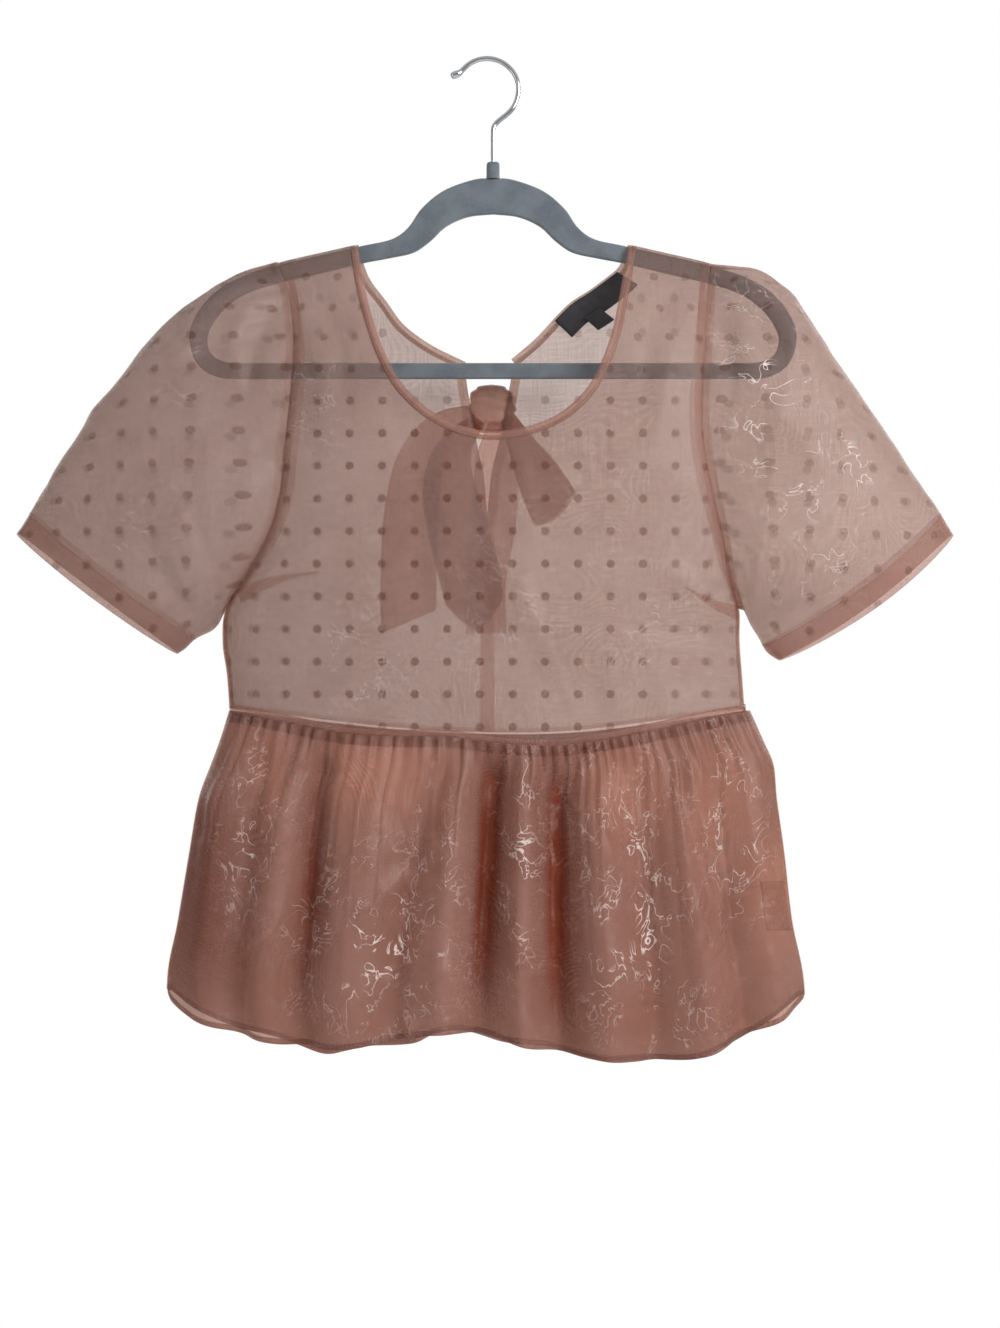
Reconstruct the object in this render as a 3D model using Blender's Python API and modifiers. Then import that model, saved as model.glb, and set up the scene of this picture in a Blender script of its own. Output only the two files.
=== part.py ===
"""A short-sleeved peplum top of sheer cloth, hung on a flocked hanger.

Metres, +Z up, +X to the viewer's right, the front faces -Y. The origin is the inner top of the
hanger's hook, where a rail or a peg carries it. Every cloth wall starts at its inner face and is
thickened outwards.
"""

from collections import namedtuple
from math import cos, exp, pi, radians, sin

import bpy
import numpy as np

# Cloth and seams
WALL = 0.0012
BINDING_WALL = 0.0020
TIE_WALL = 0.0016
LABEL_WALL = 0.0010
SEAM_GAP = 0.0003
BINDING_GAP = 0.0006
SHOULDER_SLACK = 0.0009
SLACK_LENGTH = 0.015
BAND_GAP = 0.0006
BINDING_WIDTH = 0.0060
BAND_HEIGHT = 0.0060
PLACKET_WIDTH = 0.0070

# Hanger
HANGER_X = 0.0044
HANGER_THICK = 0.0056
HANGER_EDGE = 0.0015
WIRE_RADIUS = 0.00185
HOOK_RADIUS = 0.0230
COLLAR_RADIUS = 0.0048
COLLAR_HEIGHT = 0.0115
YOKE_TOP = -0.086

# Half of the hanger's outer and inner outlines, from the middle out to an end: out, z
HANGER_OUTER = [
    (0.000, -0.0860), (0.014, -0.0870), (0.036, -0.0950), (0.052, -0.1080),
    (0.062, -0.1220), (0.074, -0.1305), (0.096, -0.1355), (0.125, -0.1420),
    (0.157, -0.1495), (0.185, -0.1585), (0.204, -0.1700), (0.217, -0.1860),
    (0.222, -0.2030), (0.216, -0.2220), (0.200, -0.2315), (0.180, -0.2325),
]
HANGER_INNER = [
    (0.000, -0.1120), (0.018, -0.1140), (0.034, -0.1210), (0.046, -0.1320),
    (0.058, -0.1400), (0.075, -0.1440), (0.096, -0.1480), (0.125, -0.1550),
    (0.157, -0.1625), (0.180, -0.1700), (0.196, -0.1810), (0.206, -0.1940),
    (0.209, -0.2050), (0.205, -0.2155), (0.194, -0.2205), (0.180, -0.2210),
]

# The bodice by height: its side edges (armholes, then side seams), how far its front and back
# stand from the hanger's plane in the middle, and how far its side edges do
Height = namedtuple("Height", "z left right front back edge")
BODICE = [
    Height(-0.130, -0.152, 0.163, 0.020, 0.016, 0.006),
    Height(-0.149, -0.152, 0.163, 0.022, 0.018, 0.009),
    Height(-0.170, -0.144, 0.160, 0.026, 0.022, 0.014),
    Height(-0.210, -0.139, 0.157, 0.033, 0.027, 0.021),
    Height(-0.250, -0.141, 0.154, 0.038, 0.030, 0.025),
    Height(-0.285, -0.145, 0.156, 0.040, 0.032, 0.025),
    Height(-0.320, -0.149, 0.163, 0.041, 0.033, 0.022),
    Height(-0.350, -0.159, 0.170, 0.041, 0.034, 0.016),
    Height(-0.375, -0.174, 0.175, 0.041, 0.034, 0.009),
    Height(-0.400, -0.190, 0.183, 0.040, 0.034, 0.0002),
    Height(-0.425, -0.1925, 0.1835, 0.039, 0.034, 0.0002),
    Height(-0.452, -0.189, 0.1855, 0.038, 0.034, 0.0002),
    Height(-0.500, -0.186, 0.189, 0.038, 0.034, 0.0002),
]
UNDERARM_Z = -0.400
SHOULDER_LEFT = -0.152
SHOULDER_RIGHT = 0.163
NECK_RIGHT = 0.103
MIDDLE_X = 0.001
COLUMN_REACH = 0.150
ROUNDNESS = 2.6
SQUARENESS = 2.0

# How the cloth comes off the hanger's arm: drop below the shoulder, distance from the plane
SHOULDER_LIFT = 0.0013
SHOULDER_EASE = 0.085
SADDLE = [(0.0, 0.0002), (0.0045, 0.0074), (0.018, 0.0085), (0.040, 0.0100)]

# Finished neck edges, from the wearer's right shoulder across: x, z
NECK_FRONT = [
    (-0.094, -0.137), (-0.090, -0.161), (-0.084, -0.186), (-0.074, -0.216),
    (-0.061, -0.240), (-0.043, -0.258), (-0.022, -0.270), (0.004, -0.275),
    (0.031, -0.271), (0.055, -0.260), (0.075, -0.239), (0.089, -0.206),
    (0.097, -0.170), (0.103, -0.137),
]
NECK_BACK_LEFT = [
    (-0.094, -0.137), (-0.0868, -0.157), (-0.0742, -0.1738), (-0.0648, -0.1867),
    (-0.0552, -0.1953), (-0.0418, -0.2041), (-0.029, -0.2105), (-0.016, -0.2165),
]
NECK_BACK_RIGHT = [
    (0.018, -0.2145), (0.026, -0.208), (0.036, -0.1995), (0.0445, -0.191),
    (0.053, -0.182), (0.0625, -0.1735), (0.0755, -0.1655), (0.0875, -0.157),
    (0.0965, -0.1495), (0.103, -0.137),
]

# The slit in the centre back: z, left edge, right edge
SLIT_FOOT = -0.330
SLIT = [
    (-0.500, -0.0002, 0.0002), (SLIT_FOOT, -0.0002, 0.0002), (-0.300, -0.0052, 0.0055),
    (-0.266, -0.0100, 0.0110), (-0.227, -0.0160, 0.0180), (-0.130, -0.0160, 0.0180),
]

# The waist seam's middle line, front and back: x, z
WAIST_FRONT = [
    (-0.190, -0.473), (-0.157, -0.478), (-0.105, -0.488), (-0.062, -0.491),
    (-0.030, -0.491), (0.010, -0.496), (0.052, -0.497), (0.110, -0.488),
    (0.154, -0.479), (0.192, -0.473),
]
WAIST_BACK = [
    (-0.190, -0.473), (-0.120, -0.480), (-0.040, -0.486), (0.050, -0.487),
    (0.130, -0.480), (0.192, -0.473),
]

# The peplum by height: its side seams, and how far its front and back stand out
Flare = namedtuple("Flare", "z left right front back")
PEPLUM = [
    Flare(-0.470, -0.186, 0.189, 0.038, 0.034),
    Flare(-0.496, -0.194, 0.2005, 0.041, 0.037),
    Flare(-0.515, -0.201, 0.2085, 0.043, 0.039),
    Flare(-0.540, -0.210, 0.211, 0.046, 0.042),
    Flare(-0.580, -0.217, 0.2165, 0.050, 0.046),
    Flare(-0.628, -0.225, 0.222, 0.054, 0.049),
    Flare(-0.676, -0.233, 0.231, 0.057, 0.051),
    Flare(-0.740, -0.226, 0.231, 0.059, 0.053),
]
HEM_FRONT = [
    (-0.233, -0.679), (-0.2266, -0.687), (-0.2062, -0.6967), (-0.1687, -0.7065),
    (-0.1252, -0.7130), (-0.0754, -0.7087), (-0.0329, -0.7013), (0.0095, -0.7061),
    (0.0519, -0.7160), (0.1085, -0.7220), (0.1513, -0.7187), (0.1956, -0.7026),
    (0.2191, -0.6908), (0.231, -0.683),
]
HEM_BACK = [
    (-0.233, -0.679), (-0.2135, -0.7023), (-0.1778, -0.7172), (-0.1335, -0.7319),
    (-0.1111, -0.7347), (-0.0811, -0.7343), (-0.0584, -0.7298), (-0.0358, -0.7215),
    (0.0095, -0.7216), (0.0548, -0.7322), (0.1152, -0.7381), (0.160, -0.7327),
    (0.2036, -0.7109), (0.231, -0.683),
]
GATHERS = 44
GATHER_DEPTH = 0.0019
GATHER_LENGTH = 0.050
CROWDING = 0.35
CROWDED_AT = 0.35
FOLD_EASE = 0.12
SEAM_EASE = 0.06

# Large folds of the peplum: place across it at the waist and at the hem (-1 to 1), half width
# (in the same share), depth (outwards is positive), and where down the skirt it is strongest
Fold = namedtuple("Fold", "waist hem wide deep start")
FOLDS_FRONT = [
    Fold(-0.92, -0.86, 0.060, 0.006, 0.20),
    Fold(-0.80, -0.76, 0.050, -0.008, 0.05),
    Fold(-0.66, -0.70, 0.070, 0.007, 0.15),
    Fold(-0.60, -0.57, 0.050, -0.012, 0.02),
    Fold(-0.40, -0.42, 0.085, 0.008, 0.30),
    Fold(-0.19, -0.30, 0.050, -0.009, 0.10),
    Fold(-0.10, -0.14, 0.055, 0.009, 0.30),
    Fold(0.02, -0.02, 0.055, -0.014, 0.02),
    Fold(0.13, 0.11, 0.050, 0.011, 0.10),
    Fold(0.24, 0.22, 0.055, -0.013, 0.05),
    Fold(0.38, 0.37, 0.070, 0.009, 0.25),
    Fold(0.53, 0.52, 0.050, -0.008, 0.05),
    Fold(0.66, 0.67, 0.060, 0.008, 0.15),
    Fold(0.79, 0.80, 0.050, -0.008, 0.20),
    Fold(0.91, 0.90, 0.050, 0.005, 0.30),
]
FOLDS_BACK = [
    Fold(-0.88, -0.84, 0.060, -0.006, 0.15),
    Fold(-0.74, -0.70, 0.065, 0.009, 0.10),
    Fold(-0.58, -0.55, 0.055, -0.011, 0.05),
    Fold(-0.44, -0.40, 0.070, 0.012, 0.10),
    Fold(-0.28, -0.24, 0.055, -0.010, 0.05),
    Fold(-0.12, -0.09, 0.060, 0.010, 0.20),
    Fold(0.04, 0.05, 0.055, -0.013, 0.02),
    Fold(0.20, 0.20, 0.065, 0.011, 0.10),
    Fold(0.36, 0.38, 0.055, -0.010, 0.10),
    Fold(0.52, 0.54, 0.070, 0.010, 0.15),
    Fold(0.68, 0.70, 0.055, -0.009, 0.05),
    Fold(0.83, 0.84, 0.060, 0.006, 0.20),
]

# Sleeves: the upper outline from the shoulder to the hem, and the underarm seam: x, z
SLEEVE_TOP_LEFT = [
    (-0.1525, -0.1470), (-0.184, -0.1560), (-0.210, -0.1710), (-0.2365, -0.1975),
    (-0.272, -0.2415), (-0.291, -0.2665), (-0.3155, -0.3035), (-0.343, -0.346),
]
SLEEVE_TOP_RIGHT = [
    (0.1635, -0.1490), (0.196, -0.1530), (0.218, -0.1665), (0.2325, -0.1845),
    (0.2585, -0.2265), (0.2862, -0.2705), (0.327, -0.3300), (0.340, -0.347),
]
UNDERARM_LEFT = [(-0.1910, -0.400), (-0.200, -0.412), (-0.211, -0.422), (-0.227, -0.433)]
UNDERARM_RIGHT = [(0.1880, -0.400), (0.195, -0.416), (0.205, -0.430), (0.2165, -0.437)]

# How a sleeve stands out from the hanger's plane: share of its length, front, back
SLEEVE_DEPTH = [
    (0.00, 0.024, 0.024), (0.10, 0.032, 0.030), (0.25, 0.040, 0.036), (0.50, 0.040, 0.036),
    (0.75, 0.034, 0.031), (1.00, 0.027, 0.025),
]
SLEEVE_STEPS = [0.0, 0.03, 0.08, 0.15, 0.24, 0.34, 0.45, 0.57, 0.69, 0.80, 0.90, 1.0]
SLEEVE_SIDES = 24
SLEEVE_GAP = 0.0016
UNDERARM_GAP = 0.0050
UNDERARM_REACH = 5
SLEEVE_FLATNESS = 0.8
HEM_BULGE = {-1: 0.0025, 1: 0.0080}
ARMHOLE_REACH = 0.45
HEAD_GATHER = 0.0016
HEAD_REACH = 7

# The tie at the back neck: its knot, then each band's middle line with its width. A band
# leaves the knot at an angle (degrees, 0 to the right and 90 up), at a share of the knot's
# depth, and at so many times its half size
KNOT = (0.003, 0.0390, -0.247)
KNOT_HALF = (0.017, 0.0075, 0.014)
ROOT_WIDTH = 0.011
Band = namedtuple("Band", "x y z wide")
TAIL_LEFT = (205, -0.35, 1.10, [
    Band(-0.034, 0.0385, -0.264, 0.024), Band(-0.050, 0.0385, -0.290, 0.036),
    Band(-0.057, 0.0385, -0.330, 0.041), Band(-0.059, 0.0390, -0.375, 0.042),
    Band(-0.059, 0.0400, -0.418, 0.042),
])
TAIL_RIGHT = (285, -0.35, 1.10, [
    Band(0.010, 0.0385, -0.285, 0.018), Band(0.010, 0.0385, -0.315, 0.026),
    Band(0.004, 0.0385, -0.345, 0.030), Band(-0.001, 0.0390, -0.380, 0.030),
    Band(-0.001, 0.0400, -0.418, 0.030),
])
LOOP_LEFT = (232, 0.55, 1.25, [
    Band(-0.024, 0.0475, -0.278, 0.026), Band(-0.029, 0.0480, -0.305, 0.040),
    Band(-0.022, 0.0480, -0.340, 0.046), Band(-0.012, 0.0480, -0.380, 0.046),
    Band(-0.008, 0.0485, -0.412, 0.040),
])
LOOP_RIGHT = (320, 0.55, 1.25, [
    Band(0.026, 0.0475, -0.277, 0.022), Band(0.036, 0.0480, -0.295, 0.032),
    Band(0.046, 0.0480, -0.314, 0.038), Band(0.055, 0.0480, -0.332, 0.040),
])
LOOP_OPEN = 0.0032
TIE_RIPPLE = 0.0006

# Labels inside the right back: start and end along its neck edge, and near and far from it
NECK_LABEL = (0.36, 0.85, 0.0015, 0.019)
SIZE_TAB = (0.49, 0.60, 0.0150, 0.028)
LABEL_CLEAR = 0.0009
CARE_WIDTH = 0.018
CARE_HIGH = -0.600
CARE_LOW = -0.636

# How finely the shapes are divided
FRONT_NECK_STEPS = 22
BACK_NECK_STEPS = 10
SHOULDER_STEPS = 5
PLACKET_STEPS = 7
BAND_STEPS = 36
PEPLUM_ROWS = [0.0, 0.05, 0.14, 0.30, 0.52, 0.76, 1.0]
TIE_STEPS = 9
TIE_COLUMNS = 4
PATCH_STEPS = 4
OUTLINE_STEPS = 30
HOOK_STEPS = 22
HOOK_START = -50
HOOK_END = 138
TIP_SIZES = (1.35, 1.5, 1.0)

COLOURS = {
    "bodice": ((0.55, 0.36, 0.30), 0.55, 0.0),
    "peplum": ((0.46, 0.25, 0.20), 0.50, 0.0),
    "trim": ((0.42, 0.22, 0.18), 0.60, 0.0),
    "tie": ((0.40, 0.18, 0.12), 0.55, 0.0),
    "flock": ((0.13, 0.15, 0.17), 0.95, 0.0),
    "steel": ((0.62, 0.64, 0.66), 0.15, 1.0),
    "dark_label": ((0.02, 0.02, 0.025), 0.70, 0.0),
    "white_label": ((0.75, 0.72, 0.70), 0.70, 0.0),
}


def clear_scene():
    for item in list(bpy.data.objects):
        bpy.data.objects.remove(item)


def material(name):
    """The named material, made once."""
    found = bpy.data.materials.get(name)
    if found:
        return found
    colour, rough, metal = COLOURS[name]
    made = bpy.data.materials.new(name)
    made.use_nodes = True
    shader = made.node_tree.nodes["Principled BSDF"]
    shader.inputs["Base Color"].default_value = (*colour, 1.0)
    shader.inputs["Roughness"].default_value = rough
    shader.inputs["Metallic"].default_value = metal
    made.diffuse_color = (*colour, 1.0)
    return made


def keep(made, slot):
    """Puts an object in the part's collection with its material."""
    for collection in list(made.users_collection):
        collection.objects.unlink(made)
    bpy.data.collections["peplum_top"].objects.link(made)
    made.data.materials.clear()
    made.data.materials.append(material(slot))
    return made


def smooth(share):
    share = min(max(share, 0.0), 1.0)
    return share * share * (3 - 2 * share)


def through(points, count=None, fine=20):
    """A smooth curve through the points, with count evenly spaced ones, or finely divided."""
    given = np.array(points, float)
    ends = np.vstack([2 * given[0] - given[1], given, 2 * given[-1] - given[-2]])
    curve = []
    for a, b, c, d in zip(ends, ends[1:], ends[2:], ends[3:]):
        for t in np.arange(fine) / fine:
            bend = (2 * a - 5 * b + 4 * c - d) * t * t + (3 * b - a - 3 * c + d) * t**3
            curve.append(0.5 * (2 * b + (c - a) * t + bend))
    curve = np.array(curve + [given[-1]])
    if count is None:
        return curve
    return at_shares(curve, np.linspace(0, 1, count))


def at_shares(curve, shares, measured=None):
    """Points at the given shares of a curve's length, measured in its first columns."""
    steps = np.linalg.norm(np.diff(curve[:, :measured], axis=0), axis=1)
    length = np.concatenate([[0.0], np.cumsum(steps)])
    want = np.asarray(shares) * length[-1]
    return np.column_stack([np.interp(want, length, column) for column in curve.T])


def beside(curve, offset):
    """The curve moved sideways in X and Z: to the right of its run for a positive offset."""
    run = np.gradient(curve, axis=0)
    run /= np.linalg.norm(run, axis=1)[:, None]
    return curve + offset * np.column_stack([run[:, 1], -run[:, 0]])


BODICE_CURVE = through(BODICE)
PEPLUM_CURVE = through(PEPLUM)
OUTER_CURVE = through(HANGER_OUTER, OUTLINE_STEPS)
WAIST_CURVES = {-1: through(WAIST_FRONT), 1: through(WAIST_BACK)}
HEM_CURVES = {-1: through(HEM_FRONT), 1: through(HEM_BACK)}


def bodice_at(z):
    """The bodice's sizes at a height."""
    columns = [np.interp(-z, -BODICE_CURVE[:, 0], column) for column in BODICE_CURVE.T]
    return Height(*columns)


def peplum_at(z):
    columns = [np.interp(-z, -PEPLUM_CURVE[:, 0], column) for column in PEPLUM_CURVE.T]
    return Flare(*columns)


def height_on(curve, x):
    return float(np.interp(x, curve[:, 0], curve[:, 1]))


def shoulder_z(x):
    """The height of the shoulder line, which rides on the hanger's arms."""
    out = max(abs(x - HANGER_X), NECK_RIGHT - HANGER_X)
    return height_on(OUTER_CURVE, out) + SHOULDER_LIFT


def body_point(x, z, side):
    """The point of the bodice's inner face at x and z, on the front (-1) or the back (1)."""
    here = bodice_at(z)
    middle = (here.left + here.right) / 2
    half = (here.right - here.left) / 2
    across = min(abs(x - middle) / half, 1.0)
    full = here.front if side < 0 else here.back
    rounded = (1 - across**ROUNDNESS) ** (1 / SQUARENESS)
    stand = here.edge + (full - here.edge) * rounded
    drop = shoulder_z(x) - z
    near = np.interp(drop, [row[0] for row in SADDLE], [row[1] for row in SADDLE])
    depth = near + (stand - near) * smooth(drop / SHOULDER_EASE)
    return np.array([x, side * depth, z])


def slit_at(z):
    heights = [row[0] for row in SLIT]
    left = np.interp(z, heights, [row[1] for row in SLIT])
    right = np.interp(z, heights, [row[2] for row in SLIT])
    return float(left), float(right)


def waist_z(x, side):
    return height_on(WAIST_CURVES[side], x)


def thicken(made, wall, slot):
    """Gives an open surface its wall, outwards from the inner face."""
    solid = made.modifiers.new("wall", "SOLIDIFY")
    solid.thickness = wall
    solid.offset = 1.0
    solid.use_even_offset = False
    made.data.shade_smooth()
    return keep(made, slot)


def cloth(name, grid, wall, slot, ring=False):
    """A cloth wall through rows of points. Its outer side is on the right-hand rule of its
    rows and columns. A ring closes each row on itself."""
    grid = np.array(grid)
    rows, columns = grid.shape[:2]
    faces = []
    for row in range(rows - 1):
        for column in range(columns if ring else columns - 1):
            after = (column + 1) % columns
            low, high = row * columns, (row + 1) * columns
            faces.append((low + column, low + after, high + after, high + column))
    mesh = bpy.data.meshes.new(name)
    mesh.from_pydata(grid.reshape(-1, 3).tolist(), [], faces)
    made = bpy.data.objects.new(name, mesh)
    bpy.context.scene.collection.objects.link(made)
    return thicken(made, wall, slot)


def armhole_heights(hand):
    """Heights down an armhole from the shoulder tip to the underarm, closest at its ends."""
    top = shoulder_z(SHOULDER_LEFT if hand < 0 else SHOULDER_RIGHT)
    steps = SLEEVE_SIDES // 2
    shares = [(1 - cos(pi * step / steps)) / 2 for step in range(steps + 1)]
    return np.array([top + (UNDERARM_Z - top) * share for share in shares])


def side_shares(hand, side):
    """Where a panel's rows lie along its side edge: 0 at the waist, 1 at the shoulder tip."""
    tip = SHOULDER_LEFT if hand < 0 else SHOULDER_RIGHT
    waist = waist_z(tip * 1.2, side) + BAND_HEIGHT / 2 + BAND_GAP
    below = [waist + (UNDERARM_Z - waist) * share for share in (0.0, 0.33, 0.67)]
    heights = np.concatenate([below, armhole_heights(hand)[::-1]])
    return (heights - heights[0]) / (heights[-1] - heights[0])


def shoulder_points(tip, neck):
    """Points along a shoulder from the neck, closest together near its tip."""
    shares = [sin(pi / 2 * step / SHOULDER_STEPS) for step in range(SHOULDER_STEPS + 1)]
    return [(x, shoulder_z(x)) for x in [neck + (tip - neck) * share for share in shares]]


def column_x(across, z, hand):
    """Where a column of cloth lies at a height: 0 is the middle and -1 or 1 a side edge. A
    hand of -1 or 1 gives a back half, whose inner edge follows the slit."""
    here = bodice_at(z)
    edge = here.left if across < 0 else here.right
    reach = -COLUMN_REACH if across < 0 else COLUMN_REACH
    x = MIDDLE_X + across * COLUMN_REACH + (edge - MIDDLE_X - reach) * abs(across) ** 5
    if hand:
        x += (slit_at(z)[(hand + 1) // 2] - MIDDLE_X) * (1 - abs(across)) ** 4
    return x


def column_through(x, z, hand):
    """Which column passes through a point."""
    low, high = (-1.0, 1.0) if not hand else ((-1.0, 0.0) if hand < 0 else (0.0, 1.0))
    for _ in range(40):
        middle = (low + high) / 2
        low, high = (middle, high) if column_x(middle, z, hand) < x else (low, middle)
    return (low + high) / 2


def column_foot(across, side, hand):
    """The height of a column's lower end, just above the waist band."""
    foot = WAIST_FRONT[0][1]
    for _ in range(4):
        x = column_x(across, foot, hand)
        foot = waist_z(x, side) + BAND_HEIGHT / 2 + BAND_GAP
    return foot


def panel(name, top, side, hand=0):
    """A bodice panel below its top outline, which runs from left to right."""
    starts, ends = side_shares(hand or -1, side), side_shares(hand or 1, side)
    columns = []
    for x, top_z in top:
        across = column_through(x, top_z, hand)
        foot = column_foot(across, side, hand)
        column = []
        for share in starts + (ends - starts) * (across + 1) / 2:
            z = foot + (top_z - foot) * share
            column.append(body_point(column_x(across, z, hand), z, side))
        columns.append(column)
    grid = np.array(columns).transpose(1, 0, 2)
    return cloth(name, grid if side < 0 else grid[:, ::-1], WALL, "bodice")


def neck_runs(points, steps, width):
    """A finished neck edge and the line at a width below it, with matching points: evenly
    spaced, with one more beside each shoulder, where the cloth turns over the hanger."""
    edge = through(points)
    drop = np.array([shoulder_z(x) - z for x, z in edge])
    widths = width + (width > BINDING_WIDTH) * SHOULDER_SLACK * np.exp(-drop / SLACK_LENGTH)
    both = np.hstack([edge, beside(edge, widths[:, None])])
    length = np.linalg.norm(np.diff(edge, axis=0), axis=1).sum()
    near = SADDLE[1][0] / length
    shares = list(np.linspace(0, 1, steps))
    on_shoulder = [abs(points[end][1] - NECK_FRONT[0][1]) < SEAM_GAP for end in (0, -1)]
    if on_shoulder[0]:
        shares.insert(1, near)
    if on_shoulder[1]:
        shares.insert(-1, 1 - near)
    run = at_shares(both, shares, 2)
    edge, under = run[:, :2], run[:, 2:]
    for end, snapped in zip((0, -1), on_shoulder):
        if snapped:
            edge[end][1] = shoulder_z(edge[end][0])
            under[end][1] = shoulder_z(under[end][0])
    return edge, under


def binding(name, points, count, side):
    """The narrow strip that binds a neck edge."""
    edge, under = neck_runs(points, count, BINDING_WIDTH)
    grid = []
    for share in (0.0, 0.5, 1.0):
        run = under + (edge - under) * share
        grid.append([body_point(x, z, side) for x, z in run])
    grid = np.array(grid)
    return cloth(name, grid if side < 0 else grid[:, ::-1], BINDING_WALL, "trim")


def slit_corner(end, inner, hand):
    """The corner of a back half: the line under its binding run on to the slit."""
    slope = (inner[1] - end[1]) / (inner[0] - end[0])
    x = slit_at(end[1])[(hand + 1) // 2]
    return x, end[1] + slope * (x - end[0])


def make_bodice():
    """Front, two back halves with the slit between them, and the neck bindings."""
    _, under = neck_runs(NECK_FRONT, FRONT_NECK_STEPS, BINDING_WIDTH + BINDING_GAP)
    left = shoulder_points(SHOULDER_LEFT, under[0][0])[::-1]
    right = shoulder_points(SHOULDER_RIGHT, under[-1][0])
    panel("bodice_front", left + list(under[1:-1]) + right, -1)
    binding("neck_binding_front", NECK_FRONT, FRONT_NECK_STEPS, -1)

    _, under = neck_runs(NECK_BACK_LEFT, BACK_NECK_STEPS, BINDING_WIDTH + BINDING_GAP)
    left = shoulder_points(SHOULDER_LEFT, under[0][0])[::-1]
    end = slit_corner(under[-1], under[-2], -1)
    top = left + list(under[1:-1]) + [end]
    panel("bodice_back_left", top, 1, -1)
    binding("neck_binding_back_left", NECK_BACK_LEFT, BACK_NECK_STEPS, 1)

    _, under = neck_runs(NECK_BACK_RIGHT, BACK_NECK_STEPS, BINDING_WIDTH + BINDING_GAP)
    right = shoulder_points(SHOULDER_RIGHT, under[-1][0])
    start = slit_corner(under[0], under[1], 1)
    top = [start] + list(under[1:-1]) + right
    panel("bodice_back_right", top, 1, 1)
    binding("neck_binding_back_right", NECK_BACK_RIGHT, BACK_NECK_STEPS, 1)


def make_plackets():
    """The stitched strips that lie on the back panels along the slit."""
    runs = {-1: NECK_BACK_LEFT, 1: NECK_BACK_RIGHT}
    for hand, name in ((-1, "placket_left"), (1, "placket_right")):
        under = beside(through(runs[hand]), BINDING_WIDTH + 2 * SEAM_GAP)
        grid = []
        for share in np.linspace(0, 1, PLACKET_STEPS):
            row = []
            for across in (0.0, 0.5, 1.0):
                tops = [slit_at(SLIT[-2][0])[(hand + 1) // 2] + hand * across * PLACKET_WIDTH]
                top = height_on(under, tops[0])
                z = SLIT_FOOT - PLACKET_WIDTH + (top - SLIT_FOOT + PLACKET_WIDTH) * share
                x = slit_at(z)[(hand + 1) // 2] + hand * across * PLACKET_WIDTH
                point = body_point(x, z, 1)
                row.append(point + np.array([0.0, WALL + 2 * SEAM_GAP, 0.0]))
            grid.append(row)
        grid = np.array(grid)
        cloth(name, grid[:, ::-1] if hand > 0 else grid, WALL, "trim")


def make_waist_band():
    """The narrow band that covers the waist seam, front and back."""
    for side, name in ((-1, "waist_band_front"), (1, "waist_band_back")):
        grid = []
        for rise in (-0.5, 0.5):
            row = []
            for step in range(BAND_STEPS + 1):
                place = (1 - cos(pi * step / BAND_STEPS)) / 2
                x = BODICE[-1].left + place * (BODICE[-1].right - BODICE[-1].left)
                row.append(body_point(x, waist_z(x, side) + rise * BAND_HEIGHT, side))
            grid.append(row)
        grid = np.array(grid)
        cloth(name, grid if side < 0 else grid[:, ::-1], BINDING_WALL, "trim")


def fold_depth(folds, place, down):
    """How far the large folds push the cloth out at a place across and down the peplum."""
    depth = 0.0
    for fold in folds:
        middle = fold.waist + (fold.hem - fold.waist) * down
        rise = smooth(down / (fold.start + FOLD_EASE))
        depth += fold.deep * rise * exp(-(((place - middle) / fold.wide) ** 2))
    return depth


def gather_places(side):
    """Uneven places across the waist, -1 to 1, alternately in a gather and between two."""
    steps = []
    for index in range(2 * GATHERS):
        crowd = 1 - CROWDING * exp(-((index / GATHERS - 1 - CROWDED_AT) / 0.25) ** 2)
        steps.append(crowd * (1 + 0.30 * sin(1.9 * index + side) + 0.18 * sin(4.3 * index)))
    reach = np.concatenate([[0.0], np.cumsum(steps)])
    return 2 * reach / reach[-1] - 1


def peplum_base(place, down, side):
    """The peplum's inner face without its gathers and folds."""
    top, foot = PEPLUM[0], PEPLUM[-2]
    top_x = (top.left + top.right) / 2 + place * (top.right - top.left) / 2
    foot_x = (foot.left + foot.right) / 2 + place * (foot.right - foot.left) / 2
    high = waist_z(top_x, side) - BAND_HEIGHT / 2 - BAND_GAP
    z = high + (height_on(HEM_CURVES[side], foot_x) - high) * down
    here = peplum_at(z)
    full = here.front if side < 0 else here.back
    edge = BODICE[-1].edge
    rounded = (1 - abs(place) ** ROUNDNESS) ** (1 / SQUARENESS)
    x = (here.left + here.right) / 2 + place * (here.right - here.left) / 2
    return np.array([x, side * (edge + (full - edge) * rounded), z])


def make_peplum():
    """The gathered skirt's front and back, each a wall with its gathers and large folds."""
    for side, name, folds in ((-1, "peplum_front", FOLDS_FRONT), (1, "peplum_back", FOLDS_BACK)):
        places = gather_places(side)
        grid = []
        for down in reversed(PEPLUM_ROWS):
            base = np.array([peplum_base(place, down, side) for place in places])
            run = np.gradient(base[:, :2], axis=0)
            run /= np.linalg.norm(run, axis=1)[:, None]
            out = np.column_stack([-side * run[:, 1], side * run[:, 0], np.zeros(len(run))])
            for index, place in enumerate(places):
                wave = GATHER_DEPTH * (0.75 + 0.25 * sin(3.7 * index + side))
                length = (WAIST_FRONT[0][1] - HEM_FRONT[0][1]) * down
                wave *= exp(-length / GATHER_LENGTH) * (1 if index % 2 else -1)
                push = wave + fold_depth(folds, place, down)
                base[index] += out[index] * push * smooth((1 - abs(place)) / SEAM_EASE)
            grid.append(base)
        grid = np.array(grid)
        cloth(name, grid if side < 0 else grid[:, ::-1], WALL, "peplum")


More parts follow.
